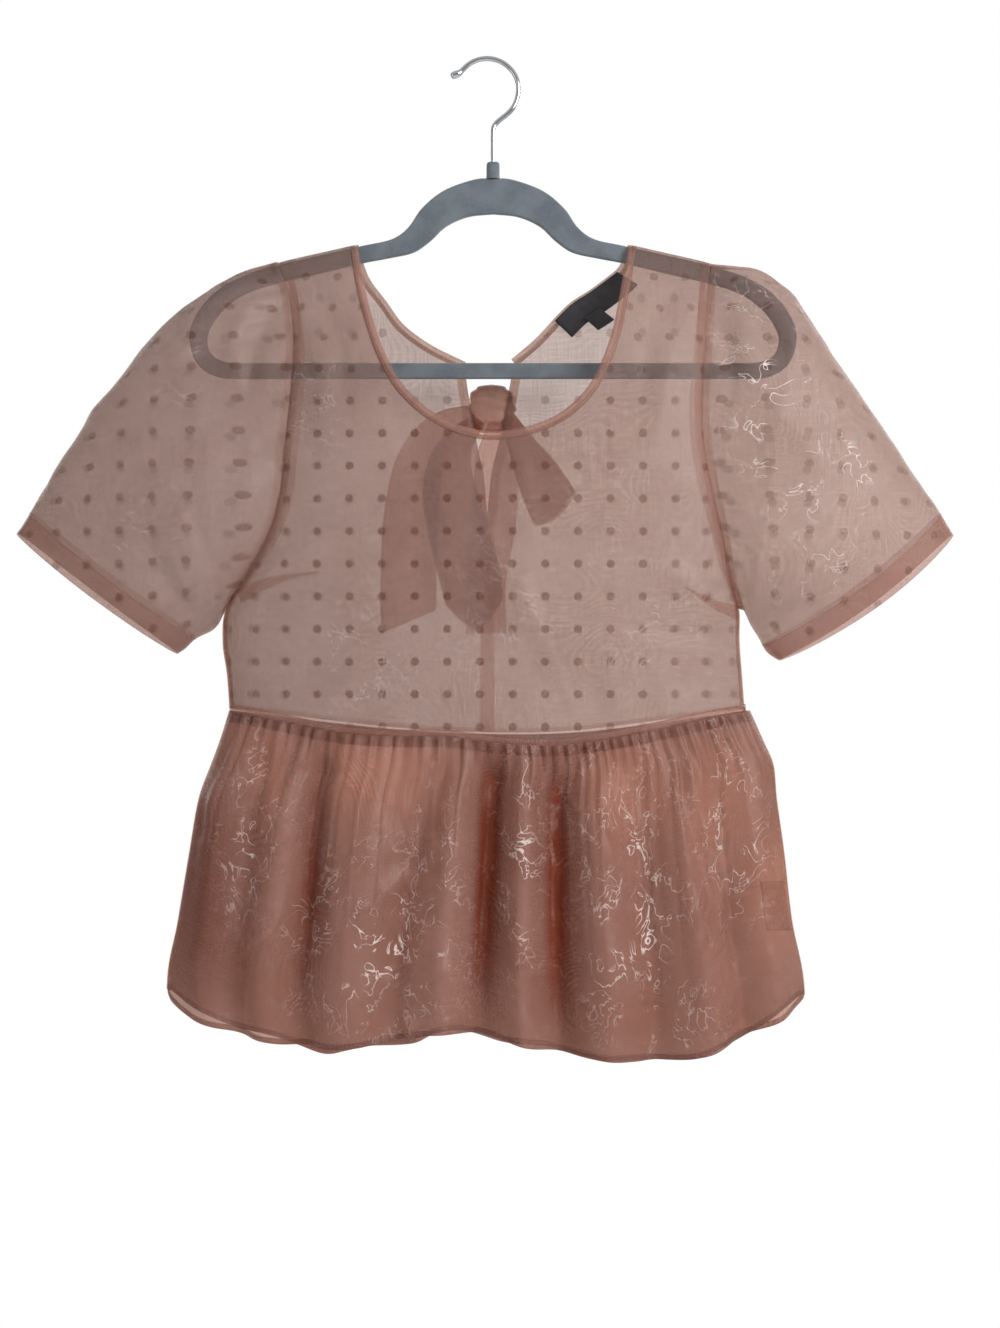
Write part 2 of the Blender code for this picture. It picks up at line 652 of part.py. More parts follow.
def armhole_ring(hand):
    """The sleeve's seam line, just outside the armhole: top, front, underarm, back."""
    heights = armhole_heights(hand)
    half = len(heights) - 1
    ring = []
    for index in range(SLEEVE_SIDES):
        side = -1 if index <= half else 1
        z = heights[index if index <= half else SLEEVE_SIDES - index]
        x = bodice_at(z).left if hand < 0 else bodice_at(z).right
        point = body_point(x, z, side)
        if index in (0, half):
            point[1] = 0.0
        low = 1 - abs(index - half) / UNDERARM_REACH
        point[0] += hand * (SLEEVE_GAP + UNDERARM_GAP * smooth(low))
        ring.append(point)
    return np.array(ring)


def sleeve_tube(top, bottom, share, bulge):
    """A flattened ring between a point of the upper outline and one of the underarm seam. Its
    front and back bulge towards the hem."""
    shares = [row[0] for row in SLEEVE_DEPTH]
    front = np.interp(share, shares, [row[1] for row in SLEEVE_DEPTH])
    back = np.interp(share, shares, [row[2] for row in SLEEVE_DEPTH])
    run = (top - bottom) / np.linalg.norm(top - bottom)
    ring = []
    for index in range(SLEEVE_SIDES):
        turn = 2 * pi * index / SLEEVE_SIDES
        x, z = (top + bottom) / 2 + (top - bottom) / 2 * cos(turn)
        push = bulge * share**2 * sin(turn) ** 2
        x, z = x + abs(run[1]) * push, z - abs(run[0]) * abs(push)
        depth = -front if sin(turn) > 0 else back
        ring.append([x, depth * abs(sin(turn)) ** SLEEVE_FLATNESS, z])
    return np.array(ring)


def make_sleeve(hand, name):
    """A puffed short sleeve: a tube from the armhole to the hem, gathered at its head."""
    tops, bottoms = (
        (SLEEVE_TOP_LEFT, UNDERARM_LEFT) if hand < 0 else (SLEEVE_TOP_RIGHT, UNDERARM_RIGHT)
    )
    seam = armhole_ring(hand)
    half = SLEEVE_SIDES // 2
    top_line, bottom_line = through(tops), through(bottoms)
    top_line[0], bottom_line[0] = seam[0][[0, 2]], seam[half][[0, 2]]
    tops = at_shares(top_line, SLEEVE_STEPS)
    bottoms = at_shares(bottom_line, SLEEVE_STEPS)
    bulge = hand * HEM_BULGE[hand]
    lean = seam - sleeve_tube(tops[0], bottoms[0], 0.0, bulge)
    grid = []
    for share, top, bottom in zip(SLEEVE_STEPS, tops, bottoms):
        stay = max(1 - share / ARMHOLE_REACH, 0.0) ** 2
        ring = sleeve_tube(top, bottom, share, bulge) + lean * stay
        middle = ring.mean(axis=0)
        for index in range(SLEEVE_SIDES):
            from_top = min(index, SLEEVE_SIDES - index)
            pucker = HEAD_GATHER * (1 if index % 2 else -1) * smooth(share / 0.04)
            pucker *= exp(-share / 0.10) * smooth((HEAD_REACH - from_top) / 2)
            out = ring[index] - middle
            ring[index] += out / np.linalg.norm(out) * pucker
        grid.append(ring)
    grid = np.array(grid)
    cloth(name, grid[:, ::-1] if hand < 0 else grid, WALL, "bodice", ring=True)


def knot_root(angle, depth, clear):
    """A point just off the knot, at an angle in the garment's plane and a share of its depth."""
    turn = radians(angle)
    flat = cos(np.arcsin(depth)) * clear
    x = KNOT[0] + KNOT_HALF[0] * cos(turn) * flat
    z = KNOT[2] + KNOT_HALF[2] * sin(turn) * flat
    return Band(x, KNOT[1] + KNOT_HALF[1] * depth, z, ROOT_WIDTH)


def ribbon_rows(angle, depth, clear, bands):
    """A band's rows of points, from the knot to its end, and the direction at its end."""
    line = through([knot_root(angle, depth, clear)] + bands, TIE_STEPS)
    run = np.gradient(line[:, [0, 2]], axis=0)
    run /= np.linalg.norm(run, axis=1)[:, None]
    rows = []
    for (x, y, z, wide), (run_x, run_z) in zip(line, run):
        row = []
        for column in range(TIE_COLUMNS + 1):
            offset = wide * (column / TIE_COLUMNS - 0.5)
            ripple = TIE_RIPPLE * (1 if column % 2 else -1)
            row.append([x - run_z * offset, y + ripple, z + run_x * offset])
        rows.append(row)
    return np.array(rows), np.array([run[-1][0], 0.0, run[-1][1]])


def make_tie():
    """The bow at the back neck: a knot, two loops and two tails."""
    bpy.ops.mesh.primitive_uv_sphere_add(segments=20, ring_count=12, radius=1, location=KNOT)
    knot = bpy.context.object
    knot.name = "tie_knot"
    knot.scale = KNOT_HALF
    bpy.ops.object.transform_apply(location=False, rotation=False, scale=True)
    knot.data.shade_smooth()
    keep(knot, "tie")
    for name, tail in (("tie_tail_left", TAIL_LEFT), ("tie_tail_right", TAIL_RIGHT)):
        rows, _ = ribbon_rows(*tail)
        cloth(name, rows, TIE_WALL, "tie")
    for name, loop in (("tie_loop_left", LOOP_LEFT), ("tie_loop_right", LOOP_RIGHT)):
        rows, run = ribbon_rows(*loop)
        apart = np.array([0.0, LOOP_OPEN / 2, 0.0])
        bend = [rows[-1] + run * LOOP_OPEN / 2 * cos(turn) + apart * sin(turn)
                for turn in (-pi / 4, 0.0, pi / 4)]
        grid = list(rows - apart) + bend + list(rows[::-1] + apart)
        cloth(name, np.array(grid)[:, ::-1], TIE_WALL, "tie")


def neck_patch(spot, inward):
    """Points on the inside of the right back, placed along its neck edge and below it."""
    start, end, near, far = spot
    curve = through(NECK_BACK_RIGHT)
    rows = []
    for offset in np.linspace(far, near, PATCH_STEPS):
        line = beside(curve, offset)
        run = at_shares(line, np.linspace(start, end, PATCH_STEPS))
        rows.append([body_point(x, z, 1) - np.array([0.0, inward, 0.0]) for x, z in run])
    return np.array(rows)[:, ::-1]


def make_labels():
    """A plain dark label and size tab inside the back neck, a plain white one in the side."""
    inward = LABEL_CLEAR + LABEL_WALL
    cloth("neck_label", neck_patch(NECK_LABEL, inward), LABEL_WALL, "dark_label")
    inward += LABEL_CLEAR + LABEL_WALL
    cloth("size_tab", neck_patch(SIZE_TAB, inward), LABEL_WALL, "dark_label")
    rows = []
    for z in np.linspace(CARE_LOW, CARE_HIGH, PATCH_STEPS):
        edge = peplum_at(z).right - LABEL_CLEAR
        rows.append([[x, -LABEL_WALL / 2, z] for x in (edge, edge - CARE_WIDTH)])
    cloth("care_label", rows, LABEL_WALL, "white_label")


def hanger_outline(points, curve_data):
    """Adds the closed outline whose right half runs through the points."""
    half = through(points, OUTLINE_STEPS)
    right = [(HANGER_X + out, z) for out, z in half]
    left = [(HANGER_X - out, z) for out, z in half[::-1][:-1]]
    loop = right + left
    spline = curve_data.splines.new("POLY")
    spline.points.add(len(loop) - 1)
    for point, (x, z) in zip(spline.points, loop):
        point.co = (x, z, 0.0, 1.0)
    spline.use_cyclic_u = True


def make_hanger():
    """The flocked body with its open middle, the collar, and the wire hook."""
    flat = bpy.data.curves.new("hanger_body", "CURVE")
    flat.dimensions = "2D"
    flat.fill_mode = "BOTH"
    hanger_outline(HANGER_OUTER, flat)
    hanger_outline(HANGER_INNER, flat)
    flat.extrude = HANGER_THICK / 2 - HANGER_EDGE
    flat.bevel_depth = HANGER_EDGE
    flat.bevel_resolution = 0
    flat.offset = -HANGER_EDGE
    body = bpy.data.objects.new("hanger_body", flat)
    body.rotation_euler = (pi / 2, 0.0, 0.0)
    bpy.context.scene.collection.objects.link(body)
    keep(body, "flock")

    inner = WIRE_RADIUS + SEAM_GAP
    low = YOKE_TOP + SEAM_GAP
    chamfer = COLLAR_RADIUS - inner - 0.001
    profile = [
        (inner, low + COLLAR_HEIGHT), (COLLAR_RADIUS - chamfer, low + COLLAR_HEIGHT),
        (COLLAR_RADIUS, low + COLLAR_HEIGHT - chamfer), (COLLAR_RADIUS, low), (inner, low),
    ]
    mesh = bpy.data.meshes.new("hanger_collar")
    points = [(x, 0.0, z) for x, z in profile]
    edges = [(index, (index + 1) % len(points)) for index in range(len(points))]
    mesh.from_pydata(points, edges, [])
    collar = bpy.data.objects.new("hanger_collar", mesh)
    collar.location = (HANGER_X, 0.0, 0.0)
    bpy.context.scene.collection.objects.link(collar)
    turn = collar.modifiers.new("turn", "SCREW")
    turn.steps = 24
    turn.render_steps = 24
    turn.use_merge_vertices = True
    turn.merge_threshold = 0.00005
    keep(collar, "flock")

    wire = bpy.data.curves.new("hanger_hook", "CURVE")
    wire.dimensions = "3D"
    wire.bevel_depth = WIRE_RADIUS
    wire.bevel_resolution = 2
    wire.use_fill_caps = True
    middle = WIRE_RADIUS - HOOK_RADIUS
    arc = []
    for turn_now in np.linspace(HOOK_START, HOOK_END, HOOK_STEPS):
        angle = radians(turn_now)
        arc.append((HOOK_RADIUS * cos(angle), middle + HOOK_RADIUS * sin(angle)))
    foot = YOKE_TOP + 2 * SEAM_GAP
    stem = through([(HANGER_X, -0.056), (HANGER_X + 0.0012, -0.047), *arc[:1]], 5)
    flick = through([arc[-1], (-0.0205, -0.0088), (-0.0262, -0.0112)], 5)
    route = [(HANGER_X, foot), *stem[:-1], *arc, *flick[1:]]
    spline = wire.splines.new("POLY")
    spline.points.add(len(route) - 1)
    for point, (x, z) in zip(spline.points, route):
        point.co = (x, 0.0, z, 1.0)
    for point, size in zip(spline.points[-3:], TIP_SIZES):
        point.radius = size
    hook = bpy.data.objects.new("hanger_hook", wire)
    bpy.context.scene.collection.objects.link(hook)
    keep(hook, "steel")


def main():
    clear_scene()
    parts = bpy.data.collections.new("peplum_top")
    bpy.context.scene.collection.children.link(parts)
    make_hanger()
    make_bodice()
    make_plackets()
    make_waist_band()
    make_peplum()
    make_sleeve(-1, "sleeve_left")
    make_sleeve(1, "sleeve_right")
    make_tie()
    make_labels()


main()
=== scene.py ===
from math import cos, pi, radians, sin

import bpy
import numpy as np
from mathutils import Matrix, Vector


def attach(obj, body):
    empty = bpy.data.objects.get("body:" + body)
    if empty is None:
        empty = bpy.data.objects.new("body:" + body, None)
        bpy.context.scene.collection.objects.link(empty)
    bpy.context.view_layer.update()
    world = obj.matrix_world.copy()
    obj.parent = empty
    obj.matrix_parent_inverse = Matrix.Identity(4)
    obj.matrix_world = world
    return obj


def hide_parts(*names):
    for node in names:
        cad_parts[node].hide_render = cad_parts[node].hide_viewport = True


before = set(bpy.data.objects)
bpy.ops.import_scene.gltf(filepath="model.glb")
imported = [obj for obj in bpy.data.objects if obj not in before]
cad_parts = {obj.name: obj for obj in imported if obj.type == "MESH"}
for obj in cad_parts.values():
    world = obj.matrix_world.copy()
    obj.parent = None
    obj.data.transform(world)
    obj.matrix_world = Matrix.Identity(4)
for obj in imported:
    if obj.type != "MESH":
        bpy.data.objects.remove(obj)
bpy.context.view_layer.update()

# Forms shared with the part, in metres. A hand is -1 on the left and 1 on the right, and a
# side is -1 in front and 1 behind.
WORDS = {-1: "left", 1: "right"}
# The column at a front piece's side seam, which in a back half is at its centre seam
EDGE_COLUMN = {-1: 0, 1: -1}
CLOTH = 0.0003
BAND_HEIGHT = 0.0060
BINDING_WIDTH = 0.0060
PLACKET_WIDTH = 0.0070
HANGER_X = 0.0044
HANGER_THICK = 0.0056
HANGER_EDGE = 0.0015
WIRE_RADIUS = 0.00185
HOOK_RADIUS = 0.0230
YOKE_TOP = -0.086

HANGER_OUTER = [
    (0.000, -0.0860), (0.014, -0.0870), (0.036, -0.0950), (0.052, -0.1080),
    (0.062, -0.1220), (0.074, -0.1305), (0.096, -0.1355), (0.125, -0.1420),
    (0.157, -0.1495), (0.185, -0.1585), (0.204, -0.1700), (0.217, -0.1860),
    (0.222, -0.2030), (0.216, -0.2220), (0.200, -0.2315), (0.180, -0.2325),
]
HANGER_INNER = [
    (0.000, -0.1120), (0.018, -0.1140), (0.034, -0.1210), (0.046, -0.1320),
    (0.058, -0.1400), (0.075, -0.1440), (0.096, -0.1480), (0.125, -0.1550),
    (0.157, -0.1625), (0.180, -0.1700), (0.196, -0.1810), (0.206, -0.1940),
    (0.209, -0.2050), (0.205, -0.2155), (0.194, -0.2205), (0.180, -0.2210),
]

# The bodice by height: z, left and right edges, front and back depth, depth at the edges
BODICE = [
    (-0.130, -0.152, 0.163, 0.020, 0.016, 0.006),
    (-0.149, -0.152, 0.163, 0.022, 0.018, 0.009),
    (-0.170, -0.144, 0.160, 0.026, 0.022, 0.014),
    (-0.210, -0.139, 0.157, 0.033, 0.027, 0.021),
    (-0.250, -0.141, 0.154, 0.038, 0.030, 0.025),
    (-0.285, -0.145, 0.156, 0.040, 0.032, 0.025),
    (-0.320, -0.149, 0.163, 0.041, 0.033, 0.022),
    (-0.350, -0.159, 0.170, 0.041, 0.034, 0.016),
    (-0.375, -0.174, 0.175, 0.041, 0.034, 0.009),
    (-0.400, -0.190, 0.183, 0.040, 0.034, 0.0002),
    (-0.425, -0.1925, 0.1835, 0.039, 0.034, 0.0002),
    (-0.452, -0.189, 0.1855, 0.038, 0.034, 0.0002),
    (-0.500, -0.186, 0.189, 0.038, 0.034, 0.0002),
]
UNDERARM_Z = -0.400
SHOULDER_TIP = {-1: -0.152, 1: 0.163}
NECK_RIGHT = 0.103
MIDDLE_X = 0.001
COLUMN_REACH = 0.150
ROUNDNESS = 2.6
SQUARENESS = 2.0
SHOULDER_LIFT = 0.0013
SHOULDER_EASE = 0.085
SADDLE = [(0.0, 0.0002), (0.0045, 0.0074), (0.018, 0.0085), (0.040, 0.0100)]

NECK_FRONT = [
    (-0.094, -0.137), (-0.090, -0.161), (-0.084, -0.186), (-0.074, -0.216),
    (-0.061, -0.240), (-0.043, -0.258), (-0.022, -0.270), (0.004, -0.275),
    (0.031, -0.271), (0.055, -0.260), (0.075, -0.239), (0.089, -0.206),
    (0.097, -0.170), (0.103, -0.137),
]
NECK_BACK_LEFT = [
    (-0.094, -0.137), (-0.0868, -0.157), (-0.0742, -0.1738), (-0.0648, -0.1867),
    (-0.0552, -0.1953), (-0.0418, -0.2041), (-0.029, -0.2105), (-0.016, -0.2165),
]
NECK_BACK_RIGHT = [
    (0.018, -0.2145), (0.026, -0.208), (0.036, -0.1995), (0.0445, -0.191),
    (0.053, -0.182), (0.0625, -0.1735), (0.0755, -0.1655), (0.0875, -0.157),
    (0.0965, -0.1495), (0.103, -0.137),
]
SLIT_FOOT = -0.330
SLIT = [
    (-0.500, 0.0, 0.0), (SLIT_FOOT, 0.0, 0.0), (-0.300, -0.0026, 0.0028),
    (-0.266, -0.0100, 0.0110), (-0.227, -0.0160, 0.0180), (-0.130, -0.0160, 0.0180),
]
WAIST_FRONT = [
    (-0.190, -0.473), (-0.157, -0.478), (-0.105, -0.488), (-0.062, -0.491),
    (-0.030, -0.491), (0.010, -0.496), (0.052, -0.497), (0.110, -0.488),
    (0.154, -0.479), (0.192, -0.473),
]
WAIST_BACK = [
    (-0.190, -0.473), (-0.120, -0.4825), (-0.040, -0.4905), (0.050, -0.4915),
    (0.130, -0.4825), (0.192, -0.473),
]

# The peplum by height: z, side seams, front and back depth
PEPLUM = [
    (-0.470, -0.186, 0.189, 0.038, 0.034),
    (-0.496, -0.194, 0.2005, 0.041, 0.037),
    (-0.515, -0.201, 0.2085, 0.043, 0.039),
    (-0.540, -0.210, 0.211, 0.046, 0.042),
    (-0.580, -0.217, 0.2165, 0.050, 0.046),
    (-0.628, -0.225, 0.222, 0.054, 0.049),
    (-0.676, -0.233, 0.231, 0.057, 0.051),
    (-0.740, -0.226, 0.231, 0.059, 0.053),
]
HEM_FRONT = [
    (-0.233, -0.679), (-0.2266, -0.687), (-0.2062, -0.6967), (-0.1687, -0.7065),
    (-0.1252, -0.7130), (-0.0754, -0.7087), (-0.0329, -0.7013), (0.0095, -0.7061),
    (0.0519, -0.7160), (0.1085, -0.7220), (0.1513, -0.7187), (0.1956, -0.7026),
    (0.2191, -0.6908), (0.231, -0.683),
]
HEM_BACK = [
    (-0.233, -0.679), (-0.2145, -0.6990), (-0.1778, -0.7165), (-0.1335, -0.7310),
    (-0.1111, -0.7330), (-0.0811, -0.7300), (-0.0584, -0.7255), (-0.0358, -0.7190),
    (0.0095, -0.7238), (0.0548, -0.7345), (0.1152, -0.7405), (0.160, -0.7350),
    (0.2045, -0.7090), (0.231, -0.683),
]
EDGE_DEPTH = 0.0002
GATHERS = 44
GATHER_LENGTH = 0.050
CROWDING = 0.35
CROWDED_AT = 0.35
FOLD_EASE = 0.12
SEAM_EASE = 0.06
# Folds: place at the waist and at the hem, half width, depth, and where it starts
FOLDS_FRONT = [
    (-0.92, -0.86, 0.060, 0.006, 0.20), (-0.80, -0.76, 0.050, -0.008, 0.05),
    (-0.66, -0.70, 0.070, 0.007, 0.15), (-0.60, -0.57, 0.050, -0.012, 0.02),
    (-0.40, -0.42, 0.085, 0.008, 0.30), (-0.19, -0.30, 0.050, -0.009, 0.10),
    (-0.10, -0.14, 0.055, 0.009, 0.30), (0.02, -0.02, 0.055, -0.014, 0.02),
    (0.13, 0.11, 0.050, 0.011, 0.10), (0.24, 0.22, 0.055, -0.013, 0.05),
    (0.38, 0.37, 0.070, 0.009, 0.25), (0.53, 0.52, 0.050, -0.008, 0.05),
    (0.66, 0.67, 0.060, 0.008, 0.15), (0.79, 0.80, 0.050, -0.008, 0.20),
    (0.91, 0.90, 0.050, 0.005, 0.30),
]
FOLDS_BACK = [
    (-0.88, -0.84, 0.060, -0.006, 0.15), (-0.74, -0.70, 0.065, 0.009, 0.10),
    (-0.58, -0.55, 0.055, -0.011, 0.05), (-0.44, -0.40, 0.070, 0.012, 0.10),
    (-0.28, -0.24, 0.055, -0.010, 0.05), (-0.12, -0.09, 0.060, 0.010, 0.20),
    (0.04, 0.05, 0.055, -0.013, 0.02), (0.20, 0.20, 0.065, 0.011, 0.10),
    (0.36, 0.38, 0.055, -0.010, 0.10), (0.52, 0.54, 0.070, 0.010, 0.15),
    (0.68, 0.70, 0.055, -0.009, 0.05), (0.83, 0.84, 0.060, 0.006, 0.20),
]

# Upper and lower outlines of each sleeve, from the shoulder or the underarm to the hem
SLEEVE_TOP = {
    -1: [
        (-0.1525, -0.1470), (-0.184, -0.1580), (-0.210, -0.1735), (-0.2375, -0.1965),
        (-0.2735, -0.2400), (-0.2925, -0.2655), (-0.3165, -0.3030), (-0.343, -0.346),
    ],
    1: [
        (0.1635, -0.1490), (0.196, -0.1530), (0.218, -0.1665), (0.2325, -0.1845),
        (0.2590, -0.2262), (0.2880, -0.2695), (0.3285, -0.3285), (0.340, -0.347),
    ],
}
UNDERARM = {
    -1: [(-0.1910, -0.400), (-0.200, -0.412), (-0.211, -0.422), (-0.227, -0.433)],
    1: [(0.1880, -0.400), (0.195, -0.416), (0.205, -0.430), (0.2165, -0.437)],
}
SLEEVE_DEPTH = [
    (0.00, 0.024, 0.024), (0.10, 0.032, 0.030), (0.25, 0.040, 0.036), (0.50, 0.040, 0.036),
    (0.75, 0.034, 0.031), (1.00, 0.027, 0.025),
]
SLEEVE_FLATNESS = 0.8
HEM_BULGE = {-1: 0.0025, 1: 0.0080}
ARMHOLE_REACH = 0.45

# Widths of turned-in cloth
FRONT_ALLOWANCE = 0.006
BACK_ALLOWANCE = 0.0040
CENTRE_ALLOWANCE = 0.0052
WAIST_ALLOWANCE = 0.0080
ARMHOLE_ALLOWANCE = 0.0060
SLEEVE_HEM = 0.018
PEPLUM_HEM = 0.0040

# The bow: each band leaves the knot at an angle, a depth and a distance, then runs through
# points with a width
KNOT = (0.003, 0.0390, -0.247)
KNOT_HALF = (0.017, 0.0075, 0.014)
ROOT_WIDTH = 0.011
TAIL_LEFT = (205, -0.35, 1.0, [
    (-0.034, 0.0385, -0.264, 0.024), (-0.050, 0.0385, -0.290, 0.036),
    (-0.057, 0.0385, -0.330, 0.041), (-0.059, 0.0390, -0.375, 0.042),
    (-0.059, 0.0400, -0.418, 0.042),
])
TAIL_RIGHT = (285, -0.35, 1.0, [
    (0.006, 0.0385, -0.285, 0.028), (0.006, 0.0385, -0.315, 0.034),
    (0.004, 0.0385, -0.345, 0.032), (-0.001, 0.0390, -0.380, 0.030),
    (-0.001, 0.0400, -0.418, 0.030),
])
LOOP_LEFT = (232, 0.55, 1.1, [
    (-0.024, 0.0475, -0.278, 0.026), (-0.029, 0.0480, -0.305, 0.040),
    (-0.022, 0.0480, -0.340, 0.046), (-0.012, 0.0480, -0.380, 0.046),
    (-0.008, 0.0485, -0.412, 0.040),
])
LOOP_RIGHT = (320, 0.55, 1.1, [
    (0.026, 0.0475, -0.277, 0.022), (0.036, 0.0480, -0.295, 0.032),
    (0.046, 0.0480, -0.314, 0.038), (0.055, 0.0480, -0.332, 0.040),
])
LOOP_OPEN = 0.0032

NECK_LABEL = (0.36, 0.85, 0.0015, 0.019)
SIZE_TAB = (0.49, 0.60, 0.0150, 0.028)
LABEL_CLEAR = 0.0009
LABEL_WALL = 0.0010
CARE_WIDTH = 0.018
CARE_HIGH = -0.600
CARE_LOW = -0.636

# Dots: pitch, radius, and one dot's place on the front
DOT_PITCH = 0.0233
DOT_RADIUS = 0.0030
DOT_BLUR = 0.008
DOT_X = -0.0048
DOT_Z = -0.2529
THREAD_PITCH = 0.0006
SLUB_SCALES = [(1500.0, 45.0, 1.0), (45.0, 1500.0, 1.0)]
WATERED_WAVES = 420.0
DOT_COLOUR = (0.21, 0.105, 0.080, 1.0)
# The pale colour of painted highlight lines along the crinkles
GLINT_LINE_COLOUR = (1.0, 0.92, 0.88, 1.0)
LEAST_COVER = 0.02
MOST_COVER = 0.97


def smooth(share):
    share = np.clip(share, 0.0, 1.0)
    return share * share * (3 - 2 * share)


def looked_up(place, table, column=1):
    """A table's column, read between its rows at places in the first column."""
    return np.interp(place, [row[0] for row in table], [row[column] for row in table])


def outward(grid, side):
    """A grid, with its columns reversed for a side above 0, so that it faces outwards."""
    return grid[:, ::-1] if side > 0 else grid


def through(points, count=None, fine=20):
    """A smooth curve through the points, with count evenly spaced ones, or finely divided."""
    given = np.array(points, float)
    ends = np.vstack([2 * given[0] - given[1], given, 2 * given[-1] - given[-2]])
    curve = []
    for a, b, c, d in zip(ends, ends[1:], ends[2:], ends[3:]):
        for t in np.arange(fine) / fine:
            bend = (2 * a - 5 * b + 4 * c - d) * t * t + (3 * b - a - 3 * c + d) * t**3
            curve.append(0.5 * (2 * b + (c - a) * t + bend))
    curve = np.array(curve + [given[-1]])
    if count is None:
        return curve
    return at_shares(curve, np.linspace(0, 1, count))


def lengths(points, axis=0):
    """How far along an axis of a grid of points each one lies from the first."""
    steps = np.linalg.norm(np.diff(points, axis=axis), axis=-1)
    return np.concatenate([0 * steps.take([0], axis), np.cumsum(steps, axis)], axis)


def at_shares(curve, shares, measured=None):
    """Points at the given shares of a curve's length, measured in its first columns."""
    length = lengths(curve[:, :measured])
    want = np.asarray(shares) * length[-1]
    return np.column_stack([np.interp(want, length, column) for column in curve.T])


def beside(curve, offset):
    """The curve moved sideways in X and Z: to the right of its run for a positive offset."""
    run = np.gradient(curve, axis=0)
    run /= np.linalg.norm(run, axis=1)[:, None]
    return curve + offset * np.column_stack([run[:, 1], -run[:, 0]])


BODICE_CURVE = through(BODICE)
PEPLUM_CURVE = through(PEPLUM)
OUTER_CURVE = through(HANGER_OUTER, 30)
WAIST_CURVES = {-1: through(WAIST_FRONT), 1: through(WAIST_BACK)}
HEM_CURVES = {-1: through(HEM_FRONT), 1: through(HEM_BACK)}
BACK_EDGES = {-1: NECK_BACK_LEFT, 1: NECK_BACK_RIGHT}


def at_height(curve, z):
    """The sizes of a table's curve at heights."""
    return [np.interp(-z, -curve[:, 0], column) for column in curve.T[1:]]


def height_on(curve, x):
    return np.interp(x, curve[:, 0], curve[:, 1])


def shoulder_z(x):
    """The height of the shoulder line, which rides on the hanger's arms."""
    out = np.maximum(np.abs(x - HANGER_X), NECK_RIGHT - HANGER_X)
    rising = OUTER_CURVE[: int(np.argmax(OUTER_CURVE[:, 0])) + 1]
    return height_on(rising, out) + SHOULDER_LIFT


def body_points(x, z, side):
    """Points of the bodice's inner face at x and z, on the front (-1) or the back (1)."""
    x, z = np.broadcast_arrays(np.asarray(x, float), np.asarray(z, float))
    left, right, front, back, edge = at_height(BODICE_CURVE, z)
    across = np.minimum(np.abs(x - (left + right) / 2) / ((right - left) / 2), 1.0)
    full = front if side < 0 else back
    stand = edge + (full - edge) * (1 - across**ROUNDNESS) ** (1 / SQUARENESS)
    drop = shoulder_z(x) - z
    near = looked_up(drop, SADDLE)
    depth = near + (stand - near) * smooth(drop / SHOULDER_EASE)
    return np.stack([x, side * depth, z], -1)


def slit_at(z, hand):
    return looked_up(z, SLIT, 1 if hand < 0 else 2)


def unit(vectors):
    return vectors / np.maximum(np.linalg.norm(vectors, axis=-1), 1e-9)[..., None]


def facing(grid, ring=False):
    """Outward directions of a grid of points whose rows go up and whose columns go round."""
    if ring:
        padded = np.concatenate([grid[:, -1:], grid, grid[:, :1]], 1)
        along = np.gradient(padded, axis=1)[:, 1:-1]
    else:
        along = np.gradient(grid, axis=1)
    return unit(np.cross(along, np.gradient(grid, axis=0)))


def uneven(u, v, size, seed):
    """Smooth uneven values from -1 to 1 over a plane, about size apart."""
    table = np.random.default_rng(seed).uniform(-1, 1, (97, 97))
    u, v = np.asarray(u) / size, np.asarray(v) / size
    low_u, low_v = np.floor(u).astype(int), np.floor(v).astype(int)
    part_u, part_v = smooth(u - low_u), smooth(v - low_v)
    corner = [[table[(low_u + i) % 97, (low_v + j) % 97] for j in (0, 1)] for i in (0, 1)]
    near = corner[0][0] * (1 - part_v) + corner[0][1] * part_v
    far = corner[1][0] * (1 - part_v) + corner[1][1] * part_v
    return near * (1 - part_u) + far * part_u


def crease_push(x, z, creases):
    """How far creases push the cloth out. Each has a half width, a height (a trough is
    negative) and a line of points in X and Z; it fades towards both of its ends."""
    push = np.zeros(np.broadcast(x, z).shape)
    for wide, deep, line in creases:
        curve = through(line, 14)
        nearest = np.full(push.shape, 1e9)
        along = np.zeros(push.shape)
        for step, (a, b) in enumerate(zip(curve, curve[1:])):
            run = b - a
            part = ((x - a[0]) * run[0] + (z - a[1]) * run[1]) / (run @ run)
            part = np.clip(part, 0, 1)
            away = np.hypot(x - a[0] - part * run[0], z - a[1] - part * run[1])
            closer = away < nearest
            nearest = np.where(closer, away, nearest)
            along = np.where(closer, (step + part) / (len(curve) - 1), along)
        push += deep * np.exp(-((nearest / wide) ** 2)) * (4 * along * (1 - along)) ** 0.6
    return push


def patches(x, z, spots):
    """Soft oval patches: middle x and z, half sizes, lean and strength."""
    total = np.zeros(np.broadcast(x, z).shape)
    for spot_x, spot_z, wide, high, lean, strength in spots:
        over = (x - spot_x - lean * (z - spot_z)) / wide
        total = np.maximum(total, strength * np.exp(-(over**2) - ((z - spot_z) / high) ** 2))
    return total


